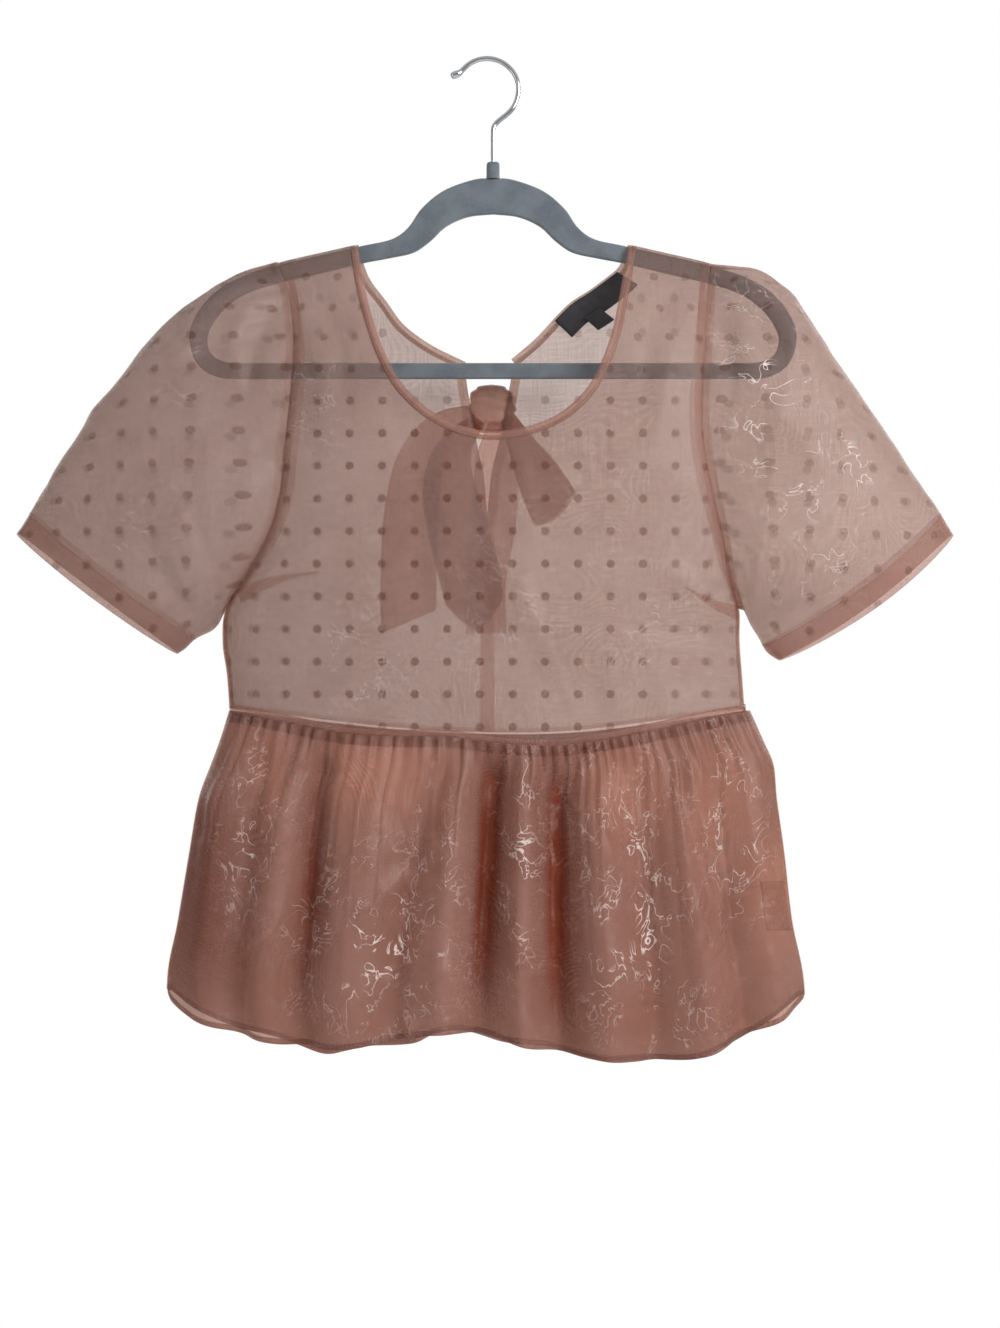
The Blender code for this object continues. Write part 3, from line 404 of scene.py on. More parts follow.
# Materials
class Finish:
    """A material, or another thing with nodes, being built."""

    def __init__(self, name, owner=None):
        self.owner = owner or bpy.data.materials.new(name)
        self.owner.use_nodes = True
        self.tree = self.owner.node_tree
        self.tree.nodes.clear()

    def put(self, socket, value):
        if isinstance(value, bpy.types.NodeSocket):
            self.tree.links.new(value, socket)
        else:
            socket.default_value = value

    def add(self, kind, inputs=None, out=0, **settings):
        """Adds a node and returns one of its outputs."""
        node = self.tree.nodes.new(kind)
        for name, value in settings.items():
            setattr(node, name, value)
        for name, value in (inputs or {}).items():
            self.put(node.inputs[name], value)
        return node.outputs[out]

    def math(self, operation, a, b=0.0, c=0.0, clamp=False):
        return self.add(
            "ShaderNodeMath", {0: a, 1: b, 2: c}, operation=operation, use_clamp=clamp
        )

    def vector(self, operation, a, b=(0.0, 0.0, 0.0), out=0):
        return self.add("ShaderNodeVectorMath", {0: a, 1: b}, out, operation=operation)

    def along(self, axis):
        """A place on the cloth along one of its threads."""
        place = self.add("ShaderNodeUVMap", uv_map="cloth")
        return self.add("ShaderNodeSeparateXYZ", {0: place}, axis)

    def noise(self, vector, scale, detail=2.0, rough=0.5, distort=0.0):
        return self.add("ShaderNodeTexNoise", {
            "Vector": vector, "Scale": scale, "Detail": detail, "Roughness": rough,
            "Distortion": distort,
        })

    def ramp(self, value, low, high, start=0.0, end=1.0):
        return self.add("ShaderNodeMapRange", {
            "Value": value, "From Min": low, "From Max": high, "To Min": start, "To Max": end,
        }, interpolation_type="SMOOTHSTEP")

    def blend(self, share, a, b):
        node = self.tree.nodes.new("ShaderNodeMix")
        node.data_type = "RGBA"
        for number, value in ((0, share), (6, a), (7, b)):
            self.put(node.inputs[number], value)
        return node.outputs[2]

    def attribute(self, name):
        return self.add("ShaderNodeAttribute", out=2, attribute_name=name)

    def bump(self, height, strength, distance, normal=None):
        inputs = {"Height": height, "Strength": strength, "Distance": distance}
        if normal is not None:
            inputs["Normal"] = normal
        return self.add("ShaderNodeBump", inputs)

    def solid(self, base, rough, normal, more):
        return self.add("ShaderNodeBsdfPrincipled", {
            "Base Color": base, "Roughness": rough, "Normal": normal, **more,
        })

    def done(self, surface, kind="ShaderNodeOutputMaterial"):
        node = self.tree.nodes.new(kind)
        self.tree.links.new(surface, node.inputs["Surface"])
        return self.owner


def colour(red, green, blue):
    return (red, green, blue, 1.0)


def organza(name, light, deep, fold, tint, cover, dots=False, glints=1.0, moire=0.14):
    """Sheer crisp cloth: a woven film that lets tinted light through, with watered lines
    where its layers cross, fine crinkles, and if asked woven dots on a square grid."""
    make = Finish(name)
    place = make.add("ShaderNodeUVMap", uv_map="cloth")
    # Per-point strengths of painted shade (below zero, painted light) and of painted highlights
    painted_light_and_shade = make.attribute("painted_light_and_shade")
    glint = make.attribute("glint")

    threads = [
        make.math("SINE", make.math("MULTIPLY", make.along(axis), 2 * pi / THREAD_PITCH))
        for axis in (0, 1)
    ]
    weave = make.math("ADD", *threads)
    slubs = make.math("ADD", *(
        make.noise(make.vector("MULTIPLY", place, scale), 1.0, 1.0) for scale in SLUB_SCALES
    ))

    drift = make.noise(place, 9.0, 1.0, 0.4)
    bands = make.math("SINE", make.math("MULTIPLY", drift, WATERED_WAVES))
    where = make.ramp(make.noise(place, 16.0, 1.0), 0.40, 0.58)
    watered = make.math("MULTIPLY", bands, where)

    # The crinkle noise bumps the surface; thin lines along its contours, in patches and as strong
    # as the glint attribute, are painted highlights
    crinkle = make.noise(place, 52.0, 2.0, 0.62, 1.1)
    away = make.math("ABSOLUTE", make.math("SUBTRACT", crinkle, 0.5))
    line = make.ramp(away, 0.001, 0.024, 1.0, 0.0)
    patchy = make.ramp(make.noise(place, 34.0, 2.0), 0.42, 0.56)
    line = make.math("MULTIPLY", make.math("MULTIPLY", line, patchy), glint)

    share = make.math("MULTIPLY_ADD", weave, 0.09 * cover, cover)
    share = make.math("MULTIPLY_ADD", make.math("SUBTRACT", slubs, 1.0), 0.7 * cover, share)
    share = make.math("MULTIPLY_ADD", watered, moire * cover, share)
    # Painted shade thickens the cover and painted light thins it
    share = make.math("MULTIPLY_ADD", painted_light_and_shade, 0.45, share)
    # Painted highlight lines thicken the cover
    share = make.math("MULTIPLY_ADD", line, 0.28 * glints, share)

    tone = make.noise(place, 14.0, 3.0)
    base = make.blend(make.ramp(tone, 0.30, 0.70), colour(*light), colour(*deep))
    # Painted shade: the colour blends towards the fold colour
    base = make.blend(make.math("MULTIPLY", painted_light_and_shade, 1.25, clamp=True), base, colour(*fold))
    if dots:
        half = (0.5, 0.5, 0.5)
        cells = make.vector("MULTIPLY", place, (1 / DOT_PITCH,) * 3)
        inside = make.vector("FRACTION", make.vector("ADD", cells, half))
        inside = make.vector("SUBTRACT", inside, half)
        inside = make.vector("MULTIPLY", inside, (1.0, 1.0, 0.0))
        out = make.vector("LENGTH", inside, out=1)
        ragged = make.math("MULTIPLY_ADD", make.noise(place, 900.0, 1.0), 0.02, -0.01)
        out = make.math("ADD", out, ragged)
        edge = DOT_RADIUS / DOT_PITCH
        dot = make.ramp(out, edge - DOT_BLUR, edge + DOT_BLUR, 1.0, 0.0)
        base = make.blend(dot, base, DOT_COLOUR)
        share = make.math("MULTIPLY_ADD", dot, 0.11, share)
    # Painted highlights: the colour blends towards a pale colour along the crinkle lines
    base = make.blend(make.math("MULTIPLY", line, 1.0, clamp=True), base, GLINT_LINE_COLOUR)
    share = make.math("MINIMUM", make.math("MAXIMUM", share, LEAST_COVER), MOST_COVER)

    normal = make.bump(crinkle, 0.30, 0.004)
    normal = make.bump(slubs, 0.10, 0.0004, normal)
    solid = make.solid(base, 0.42, normal, {
        "Sheen Weight": 0.12, "Sheen Roughness": 0.4, "Specular IOR Level": 0.4,
    })
    film = make.add("ShaderNodeBsdfTransparent", {"Color": colour(*tint)})
    mixed = make.add("ShaderNodeMixShader", {0: share, 1: film, 2: solid})
    return make.done(mixed)


def flock():
    """Short grey nap on the hanger, its tone varying at random."""
    make = Finish("flock")
    place = make.add("ShaderNodeTexCoord", out=3)
    nap = make.noise(place, 2600.0, 2.0, 0.7)
    brushed = make.noise(place, 55.0, 3.0)
    base = make.blend(make.ramp(brushed, 0.3, 0.7), colour(0.105, 0.122, 0.140),
                      colour(0.150, 0.172, 0.192))
    base = make.blend(make.ramp(nap, 0.45, 0.75, 0.0, 0.5), base, colour(0.26, 0.29, 0.32))
    return make.done(make.solid(base, 0.95, make.bump(nap, 0.5, 0.0004), {
        "Sheen Weight": 0.5, "Sheen Roughness": 0.5, "Specular IOR Level": 0.2,
    }))


def steel():
    """Bright wire with faint drawing marks."""
    make = Finish("steel")
    place = make.add("ShaderNodeTexCoord", out=3)
    drawn = make.noise(make.vector("MULTIPLY", place, (900.0, 900.0, 60.0)), 1.0, 2.0)
    rough = make.ramp(drawn, 0.3, 0.8, 0.05, 0.16)
    base = make.blend(make.noise(place, 90.0, 2.0), colour(0.58, 0.60, 0.62),
                      colour(0.72, 0.73, 0.74))
    return make.done(make.solid(base, rough, make.bump(drawn, 0.05, 0.0003), {"Metallic": 1.0}))


def woven(name, light, deep, pitch):
    """Closely woven label tape or thread."""
    make = Finish(name)
    place = make.add("ShaderNodeUVMap", uv_map="cloth")
    ribs = [
        make.math("SINE", make.math("MULTIPLY", make.along(axis), 2 * pi / pitch))
        for axis in (1, 0)
    ]
    height = make.math("MULTIPLY", *ribs)
    tone = make.math("MULTIPLY_ADD", height, 0.25, make.noise(place, 120.0, 2.0))
    base = make.blend(make.ramp(tone, 0.3, 0.8), colour(*deep), colour(*light))
    return make.done(make.solid(base, 0.62, make.bump(height, 0.4, 0.0002),
                                {"Sheen Weight": 0.2}))


# Organza: light and deep tones mixed at random, fold (the colour of painted shade), the tint of
# light let through, and cover
FINISHES = {
    "dotted": organza("dotted_organza", (0.39, 0.285, 0.26), (0.32, 0.21, 0.185),
                      (0.24, 0.12, 0.09), (0.90, 0.83, 0.80), 0.27, dots=True, moire=0.09),
    "plain": organza("plain_organza", (0.33, 0.195, 0.165), (0.26, 0.135, 0.105),
                     (0.200, 0.030, 0.006), (0.912, 0.745, 0.68), 0.38, glints=0.65),
    "trim": organza("trim_organza", (0.42, 0.25, 0.21), (0.34, 0.18, 0.145),
                    (0.22, 0.08, 0.05), (0.93, 0.80, 0.75), 0.38, glints=0.4),
    "seam": organza("seam_organza", (0.44, 0.24, 0.18), (0.36, 0.17, 0.115),
                    (0.22, 0.07, 0.04), (0.955, 0.84, 0.79), 0.13, glints=0.3),
    # The tie finish, on the bow's left loop and the centre-back strips, is lighter and more
    # orange: painted light standing for light shining through the loop from behind
    "tie": organza("tie_organza", (0.42, 0.20, 0.13), (0.35, 0.145, 0.085),
                   (0.22, 0.05, 0.02), (0.972, 0.875, 0.815), 0.13, glints=0.5, moire=0.3),
    "hidden": organza("hidden_organza", (0.34, 0.20, 0.165), (0.28, 0.15, 0.12),
                      (0.22, 0.07, 0.04), (0.965, 0.88, 0.85), 0.08, glints=0.3),
    "sheer_tie": organza("sheer_tie_organza", (0.42, 0.27, 0.22), (0.36, 0.20, 0.15),
                         (0.26, 0.10, 0.06), (0.95, 0.84, 0.79), 0.12, glints=0.5, moire=0.3),
    "thread": woven("thread", (0.42, 0.22, 0.18), (0.30, 0.14, 0.11), 0.0004),
    "flock": flock(),
    "steel": steel(),
    "dark_label": woven("dark_tape", (0.030, 0.030, 0.036), (0.012, 0.012, 0.016), 0.0008),
    "white_label": woven("white_tape", (0.80, 0.76, 0.74), (0.62, 0.57, 0.55), 0.0010),
}


# Pieces
def ready(made, finish):
    made.data.materials.clear()
    made.data.materials.append(FINISHES[finish])
    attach(made, "root")
    return made


def linked(name, data):
    made = bpy.data.objects.new(name, data)
    bpy.context.scene.collection.objects.link(made)
    return made


def sheet(name, grid, coords, finish, wall=CLOTH, ring=False, painted_light_and_shade=0.0, glint=0.0):
    """A thin shell of cloth through rows of points, with its place on the cloth in metres."""
    rows, columns = grid.shape[:2]
    span = columns if ring else columns - 1
    row, column = np.mgrid[0:rows - 1, 0:span]
    after = (column + 1) % columns
    low, high = row * columns, (row + 1) * columns
    faces = np.stack([low + column, low + after, high + after, high + column], -1)
    mesh = bpy.data.meshes.new(name)
    mesh.from_pydata(grid.reshape(-1, 3).tolist(), [], faces.reshape(-1, 4).tolist())
    corners = np.stack([
        coords[row, column], coords[row, column + 1],
        coords[row + 1, column + 1], coords[row + 1, column],
    ], 2)
    mesh.uv_layers.new(name="cloth").data.foreach_set("uv", corners.reshape(-1))
    # Per-point strengths of painted light and shade and of painted highlights, for the organza
    for mark, values in (("painted_light_and_shade", painted_light_and_shade), ("glint", glint)):
        data = mesh.attributes.new(mark, "FLOAT", "POINT").data
        data.foreach_set("value", np.broadcast_to(values, (rows, columns)).reshape(-1))
    mesh.shade_smooth()
    made = linked(name, mesh)
    if wall:
        solid = made.modifiers.new("wall", "SOLIDIFY")
        solid.thickness = wall
        solid.offset = 1.0
        solid.use_even_offset = False
    return ready(made, finish)


def flat_coords(grid):
    """Places on the cloth measured along a grid's own rows and columns."""
    return np.stack([lengths(grid, 1), lengths(grid)], -1)


def closed(coords):
    """Places on the cloth with the last column's repeated, for a grid that runs round."""
    return np.concatenate([coords, coords[:, -1:]], 1)


def inward_strip(grid, coords, edge, wide, clear, steps=4, ring=False):
    """A strip of the cloth turned in along one edge of a grid ("top", "foot", "left",
    "right"), just inside its inner face."""
    inner = grid - facing(grid, ring) * clear
    sideways, order = {
        "foot": (False, 1), "top": (False, -1), "left": (True, 1), "right": (True, -1),
    }[edge]
    if sideways:
        inner, coords = inner.transpose(1, 0, 2), coords.transpose(1, 0, 2)
    inner, coords = inner[::order], coords[::order]
    length = lengths(inner)
    columns = inner.shape[1]
    out = np.zeros((steps, columns, 3))
    marks = np.zeros((steps, coords.shape[1], 2))
    want = np.linspace(0, wide, steps)
    for column in range(coords.shape[1]):
        same = column % columns
        for axis in range(3):
            out[:, same, axis] = np.interp(want, length[:, same], inner[:, same, axis])
        for axis in range(2):
            marks[:, column, axis] = np.interp(want, length[:, same], coords[:, column, axis])
    out, marks = out[::order], marks[::order]
    if sideways:
        out, marks = out.transpose(1, 0, 2), marks.transpose(1, 0, 2)
    return out, marks


# A stitch's rings: place along it, height and width
STITCH = [(-0.5, 0.2, 0.5), (-0.25, 1.0, 1.0), (0.25, 1.0, 1.0), (0.5, 0.2, 0.5)]


def stitches(name, line, out, pitch=0.0028, long=0.0020, radius=0.00016):
    """A row of thread stitches along a line of points, raised outwards from the cloth."""
    length = lengths(line)
    centres = np.arange(pitch / 2, length[-1] - long / 2, pitch)

    def along(values, at):
        return np.column_stack([np.interp(at, length, column) for column in values.T])

    rings = []
    for share, lift, size in STITCH:
        at = centres + share * long
        up = unit(along(out, at))
        run = unit(along(line, at + 0.0002) - along(line, at - 0.0002))
        aside = np.cross(run, up)
        middle = along(line, at) + up * radius * lift
        rings.append(np.stack([
            middle + radius * size * (up * cos(turn) + aside * sin(turn))
            for turn in (0, pi / 2, pi, 3 * pi / 2)
        ], 1))
    points = np.stack(rings, 1).reshape(-1, 3)
    faces = []
    for first in range(0, len(points), 16):
        for ring in range(3):
            for side in range(4):
                a, b = first + 4 * ring + side, first + 4 * ring + (side + 1) % 4
                faces.append((a, b, b + 4, a + 4))
        faces.append((first + 3, first + 2, first + 1, first))
        faces.append((first + 12, first + 13, first + 14, first + 15))
    mesh = bpy.data.meshes.new(name)
    mesh.from_pydata(points.tolist(), [], faces)
    layer = mesh.uv_layers.new(name="cloth")
    vertex = np.zeros(len(mesh.loops), int)
    mesh.loops.foreach_get("vertex_index", vertex)
    layer.data.foreach_set("uv", points[vertex][:, [0, 2]].reshape(-1))
    mesh.shade_smooth()
    return ready(linked(name, mesh), "thread")


def declare(node, extra=()):
    if node:
        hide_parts(node)


# Bodice
CAMERA = (0.0095, -1.6, -0.441)
BACK_SPREAD = 1.0455
PANEL_ROWS = 150
UNDER_BINDING = BINDING_WIDTH * 0.5
BINDING_LIFT = 0.0012
BAND_LIFT = 0.0010
DART_WIDTH = 0.0055
DART_DEPTH = 0.0004
NECK_COLUMNS = 96
SHOULDER_COLUMNS = 26
# Creases: half width, height, and points in X and Z
FRONT_CREASES = [
    (0.007, 0.0022, [(-0.142, -0.172), (-0.122, -0.215), (-0.112, -0.270)]),
    (0.006, -0.0020, [(-0.128, -0.158), (-0.108, -0.205), (-0.098, -0.262)]),
    (0.009, 0.0025, [(-0.186, -0.404), (-0.150, -0.372), (-0.100, -0.345)]),
    (0.008, -0.0022, [(-0.184, -0.418), (-0.140, -0.402), (-0.085, -0.392)]),
    (0.008, 0.0024, [(0.150, -0.176), (0.132, -0.220), (0.121, -0.285)]),
    (0.006, -0.0020, [(0.140, -0.160), (0.118, -0.200), (0.112, -0.250)]),
    (0.009, 0.0026, [(0.180, -0.408), (0.148, -0.385), (0.112, -0.372)]),
    (0.008, -0.0020, [(0.183, -0.430), (0.140, -0.418), (0.080, -0.410)]),
    (0.012, -0.0030, [(-0.052, -0.268), (-0.044, -0.330), (-0.050, -0.420)]),
    (0.010, 0.0024, [(0.020, -0.280), (0.030, -0.350), (0.020, -0.440)]),
    (0.010, 0.0022, [(-0.088, -0.430), (-0.100, -0.460), (-0.104, -0.487)]),
    (0.009, -0.0020, [(0.072, -0.430), (0.080, -0.462), (0.078, -0.492)]),
    (0.008, 0.0018, [(0.120, -0.440), (0.128, -0.465), (0.126, -0.486)]),
    (0.004, 0.0022, [(0.013, -0.360), (0.038, -0.420), (0.064, -0.482)]),
]
BACK_CREASES = [
    (0.008, 0.0024, [(-0.140, -0.175), (-0.115, -0.235), (-0.095, -0.310)]),
    (0.007, -0.0020, [(-0.110, -0.160), (-0.088, -0.220), (-0.070, -0.290)]),
    (0.010, 0.0026, [(-0.184, -0.408), (-0.140, -0.380), (-0.080, -0.365)]),
    (0.008, -0.0022, [(-0.150, -0.470), (-0.140, -0.430), (-0.120, -0.395)]),
    (0.008, 0.0026, [(0.148, -0.178), (0.124, -0.240), (0.100, -0.320)]),
    (0.007, -0.0020, [(0.120, -0.165), (0.098, -0.222), (0.084, -0.285)]),
    (0.010, 0.0026, [(0.178, -0.410), (0.130, -0.385), (0.070, -0.372)]),
    (0.009, -0.0022, [(0.140, -0.472), (0.128, -0.432), (0.110, -0.400)]),
    (0.008, 0.0020, [(-0.040, -0.478), (-0.034, -0.440), (-0.030, -0.410)]),
    (0.008, 0.0020, [(0.052, -0.478), (0.048, -0.445), (0.040, -0.415)]),
]
# Patches: middle in X and Z, half sizes, lean and strength
# Painted highlight patches on the front
FRONT_GLINTS = [
    (0.120, -0.420, 0.050, 0.060, 0.0, 0.40), (-0.090, -0.440, 0.050, 0.050, 0.2, 0.28),
    (0.085, -0.300, 0.035, 0.060, 0.2, 0.30), (-0.125, -0.250, 0.030, 0.060, -0.2, 0.25),
    (0.020, -0.400, 0.050, 0.080, 0.0, 0.25),
]
# Painted light and shade across the width, by x: above zero darkens the cloth on the left, below
# zero lightens it on the right
PAINTED_SIDE_SHADING = [
    (-0.26, 0.13), (-0.17, 0.12), (-0.10, 0.07), (0.10, -0.09), (0.17, -0.10), (0.26, -0.21),
]
# Painted shade patches on the front: under the hanger's left arm and beside the diagonal crease
FRONT_SHADE = [
    (-0.125, -0.248, 0.035, 0.030, 0.0, 0.20), (0.022, -0.430, 0.018, 0.045, -0.45, 0.07),
]
# A patch of painted shade low on the right sleeve
SLEEVE_SHADE = [(0.226, -0.398, 0.030, 0.022, 0.0, 0.24)]
# Painted shade patches on the back: under the hanger's left arm, beside the back neck and either
# side of the bow's knot
BACK_SHADE = [
    (-0.125, -0.248, 0.035, 0.030, 0.0, 0.20), (-0.050, -0.200, 0.045, 0.045, 0.0, 0.14),
    (0.050, -0.200, 0.045, 0.045, 0.0, 0.08), (-0.038, -0.247, 0.028, 0.018, 0.0, 0.34),
    (0.034, -0.248, 0.024, 0.018, 0.0, 0.28),
]


def shade(x):
    """Painted light and shade across the width: the cloth is darkened and made more opaque on the
    left, and lightened and made clearer on the right, as the light falls.
    """
    return looked_up(x, PAINTED_SIDE_SHADING)


def column_x(across, z, hand):
    """Where a column of cloth lies at a height: 0 is the middle and -1 or 1 a side edge."""
    left, right = at_height(BODICE_CURVE, z)[:2]
    edge = np.where(across < 0, left, right)
    reach = np.where(across < 0, -COLUMN_REACH, COLUMN_REACH)
    x = MIDDLE_X + across * COLUMN_REACH + (edge - MIDDLE_X - reach) * np.abs(across) ** 5
    if hand:
        x = x + (slit_at(z, hand) - MIDDLE_X) * (1 - np.abs(across)) ** 4
    return x


def column_through(x, z, hand):
    """Which column passes through each point."""
    low = np.full(x.shape, 0.0 if hand > 0 else -1.0)
    high = np.full(x.shape, 0.0 if hand < 0 else 1.0)
    for _ in range(40):
        middle = (low + high) / 2
        left = column_x(middle, z, hand) < x
        low, high = np.where(left, middle, low), np.where(left, high, middle)
    return (low + high) / 2


def panel_grid(top, side, hand=0):
    """A bodice panel's points below its top outline, down to the waist seam."""
    top_x, top_z = np.array(top).T
    across = column_through(top_x, top_z, hand)
    foot = np.full(across.shape, WAIST_FRONT[0][1])
    for _ in range(4):
        foot = height_on(WAIST_CURVES[side], column_x(across, foot, hand))
    share = (1 - (1 - np.linspace(0, 1, PANEL_ROWS)) ** 1.3)[:, None]
    z = foot + (top_z - foot) * share
    return body_points(column_x(across, z, hand), z, side)


def matched(across, up):
    """Back cloth is laid so that its dots fall behind those of the front, seen from afar."""
    return tuple(
        centre + (place - centre) / BACK_SPREAD
        for place, centre in ((across, CAMERA[0]), (up, CAMERA[2]))
    )


def panel_coords(grid, side, from_x):
    """Places on the cloth: round the body from a given x, and the height."""
    round_body = lengths(grid[..., :2], 1)
    for row, xs in zip(round_body, grid[..., 0]):
        row -= np.interp(from_x, xs, row)
    across, up = round_body + from_x, grid[..., 2]
    if side > 0:
        across, up = matched(across, up)
    return np.stack([across - DOT_X, up - DOT_Z], -1)


def panel(name, top, side, hand, creases, glints):
    grid = panel_grid(top, side, hand)
    coords = panel_coords(grid, side, hand * 0.02)
    x, z = grid[..., 0], grid[..., 2]
    push = crease_push(x, z, creases)
    push += 0.0009 * uneven(x, z, 0.034, 5 + side + hand)
    push += 0.0004 * uneven(x, z, 0.012, 9 + side)
    push *= smooth((shoulder_z(x) - z) / 0.030)
    push *= smooth((z[-1] - z + 0.004) / 0.020)
    push *= smooth((np.minimum(x - x[:, :1], x[:, -1:] - x) + 0.001) / 0.020)
    push *= smooth((z - z[0] + 0.001) / 0.010)
    grid, coords, push = (outward(item, side) for item in (grid, coords, push))
    grid = grid + facing(grid) * (push + 0.0005)[..., None]
    x, z = grid[..., 0], grid[..., 2]
    # Painted light and shade across the width and in patches, and painted highlight patches
    painted_light_and_shade = shade(x) + patches(x, z, FRONT_SHADE if side < 0 else BACK_SHADE)
    made = sheet(name, grid, coords, "dotted", painted_light_and_shade=painted_light_and_shade,
                 glint=patches(x, z, glints))
    return made, grid, coords


def shoulder_run(tip, neck):
    shares = np.sin(pi / 2 * np.arange(SHOULDER_COLUMNS) / (SHOULDER_COLUMNS - 1))
    x = neck + (tip - neck) * shares
    return np.column_stack([x, shoulder_z(x)])


def neck_lines(points, count, width):
    """A finished neck edge and the line a width below it."""
    edge = through(points)
    both = np.hstack([edge, beside(edge, width)])
    run = at_shares(both, np.linspace(0, 1, count), 2)
    edge, under = run[:, :2].copy(), run[:, 2:].copy()
    for end in (0, -1):
        if abs(points[end][1] - NECK_FRONT[0][1]) < 0.0003:
            edge[end][1] = shoulder_z(edge[end][0])
            under[end][1] = shoulder_z(under[end][0])
    edge[:, 1] = np.minimum(edge[:, 1], shoulder_z(edge[:, 0]))
    under[:, 1] = np.minimum(under[:, 1], shoulder_z(under[:, 0]))
    return edge, under


def binding(name, points, side):
    """A folded strip of cloth round a neck edge, a little full across its width."""
    edge, under = neck_lines(points, 200, BINDING_WIDTH)
    rows = []
    for share in np.linspace(0, 1, 9):
        run = under + (edge - under) * share
        point = body_points(run[:, 0], run[:, 1], side)
        lift = BINDING_LIFT * np.sqrt(max(1 - (2 * share - 1) ** 2, 0.0)) + 0.0003
        ripple = 0.00025 * uneven(run[:, 0] * 3, run[:, 1] * 3, 0.02, 3)
        point[:, 1] += side * (lift + ripple)
        rows.append(point)
    grid = outward(np.array(rows), side)
    made = sheet(name, grid, flat_coords(grid), "trim")
    out = facing(grid)[2]
    return made, stitches(name + "_stitches", grid[2] + out * 0.0003, out)


def seam_strips(name, grid, coords, edges, wide, finish="seam"):
    """Turned-in edges of a panel: a second layer of its cloth along each seam."""
    made = []
    for edge in edges:
        strip, marks = inward_strip(grid, coords, edge, wide, 0.0006)
        made.append(sheet(f"{name}_{edge}_allowance", strip, marks, finish))
    return made


def dart(name, line, side):
    """A stitched bust dart: a narrow folded wedge with its seam."""
    curve = through(line, 24)
    run = unit(np.gradient(curve, axis=0))
    width = DART_WIDTH * np.linspace(1.0, 0.10, 24)[:, None]
    rows = []
    for across in np.linspace(-1, 1, 5):
        moved = curve + across * width * np.column_stack([-run[:, 1], run[:, 0]])
        point = body_points(moved[:, 0], moved[:, 1], side)
        point[:, 1] -= side * DART_DEPTH
        rows.append(point)
    grid = np.array(rows)
    if grid[0, -1, 0] < grid[0, 0, 0]:
        grid = grid[:, ::-1]
    made = sheet(name, grid, flat_coords(grid), "seam")
    middle = body_points(curve[:, 0], curve[:, 1], side)
    middle[:, 1] += side * 0.0009
    out = np.tile([0.0, float(side), 0.0], (len(curve), 1))
    return [made, stitches(name + "_stitches", middle, out)]


_, under = neck_lines(NECK_FRONT, NECK_COLUMNS, UNDER_BINDING)
left = shoulder_run(SHOULDER_TIP[-1], under[0][0])[::-1][:-1]
right = shoulder_run(SHOULDER_TIP[1], under[-1][0])[1:]
front, front_grid, front_coords = panel(
    "organza_front", np.vstack([left, under, right]), -1, 0, FRONT_CREASES, FRONT_GLINTS
)
front_binding, front_sewn = binding("front_neck_binding", NECK_FRONT, -1)

backs = {}
for hand, points in BACK_EDGES.items():
    _, under = neck_lines(points, NECK_COLUMNS // 2, UNDER_BINDING)
    under = under[::-hand]
    run = shoulder_run(SHOULDER_TIP[hand], under[0][0])[::-1][:-1]
    slope = (under[-1] - under[-2]) / (under[-1][0] - under[-2][0])
    end = under[-1] + slope * (slit_at(under[-1][1], hand) - under[-1][0])
    top = np.vstack([run, under[:-1], end])[::-hand]
    backs[hand] = panel(f"organza_back_{WORDS[hand]}", top, 1, hand, BACK_CREASES, [])
back_bindings = {
    hand: binding(f"back_neck_binding_{WORDS[hand]}", points, 1)
    for hand, points in BACK_EDGES.items()
}


def side_seam(name, front_edge, back_edge, hand):
    """A sewn side seam: a narrow ridge of cloth that joins a front edge to a back edge."""
    middle = (front_edge + back_edge) / 2 + np.array([hand * 0.0006, 0.0, 0.0])
    grid = np.stack([front_edge, middle, back_edge][::hand], 1)
    return sheet(name, grid, flat_coords(grid), "seam")


body_seams = []
below = front_grid[:, 0, 2] < UNDERARM_Z
for hand, word in WORDS.items():
    front_edge = front_grid[below][:, EDGE_COLUMN[hand]]
    back_edge = backs[hand][1][below][:, EDGE_COLUMN[-hand]]
    body_seams.append(side_seam(f"side_seam_{word}", front_edge, back_edge, hand))


# Plackets
def placket(hand, word):
    under = beside(through(BACK_EDGES[hand]), BINDING_WIDTH)
    across = np.linspace(0, 1, 7)
    over = hand * across * PLACKET_WIDTH
    top = height_on(under, slit_at(SLIT[-2][0], hand) + over)
    foot = SLIT_FOOT - PLACKET_WIDTH
    rows = []
    for share in np.linspace(0, 1, 60):
        z = foot + (top - foot) * share
        point = body_points(slit_at(z, hand) + over, z, 1)
        point[:, 1] += 0.0012 + 0.0004 * np.sin(pi * across)
        rows.append(point)
    grid = outward(np.array(rows), hand)
    made = sheet(f"slit_placket_{word}", grid, flat_coords(grid), "seam")
    out = facing(grid)[:, 3]
    line = grid[:, 3] + out * 0.0004
    return made, stitches(f"slit_placket_{word}_stitches", line, out)


plackets = {hand: placket(hand, word) for hand, word in WORDS.items()}


# Waist band
def waist_band(side, word):
    rows = []
    place = (1 - np.cos(pi * np.linspace(0, 1, 260))) / 2
    left, right = BODICE[-1][1:3]
    x = left + place * (right - left)
    for rise in np.linspace(-0.5, 0.5, 7):
        point = body_points(x, height_on(WAIST_CURVES[side], x) + rise * BAND_HEIGHT, side)
        out = np.zeros_like(point)
        out[:, 0] = np.gradient(point[:, 1]) * side * -1
        out[:, 1] = np.gradient(point[:, 0]) * side
        lift = 0.0006 + BAND_LIFT * np.sqrt(max(1 - (2 * rise) ** 2, 0.0))
        lift = lift + 0.0003 * uneven(x, np.full(x.shape, rise * 0.01), 0.006, 21)
        rows.append(point + unit(out) * lift[:, None])
    grid = outward(np.array(rows), side)
    finish = "trim" if side < 0 else "hidden"
    return sheet(f"{word}_waist_band", grid, flat_coords(grid), finish)


front_band = waist_band(-1, "front")
back_band = waist_band(1, "back")


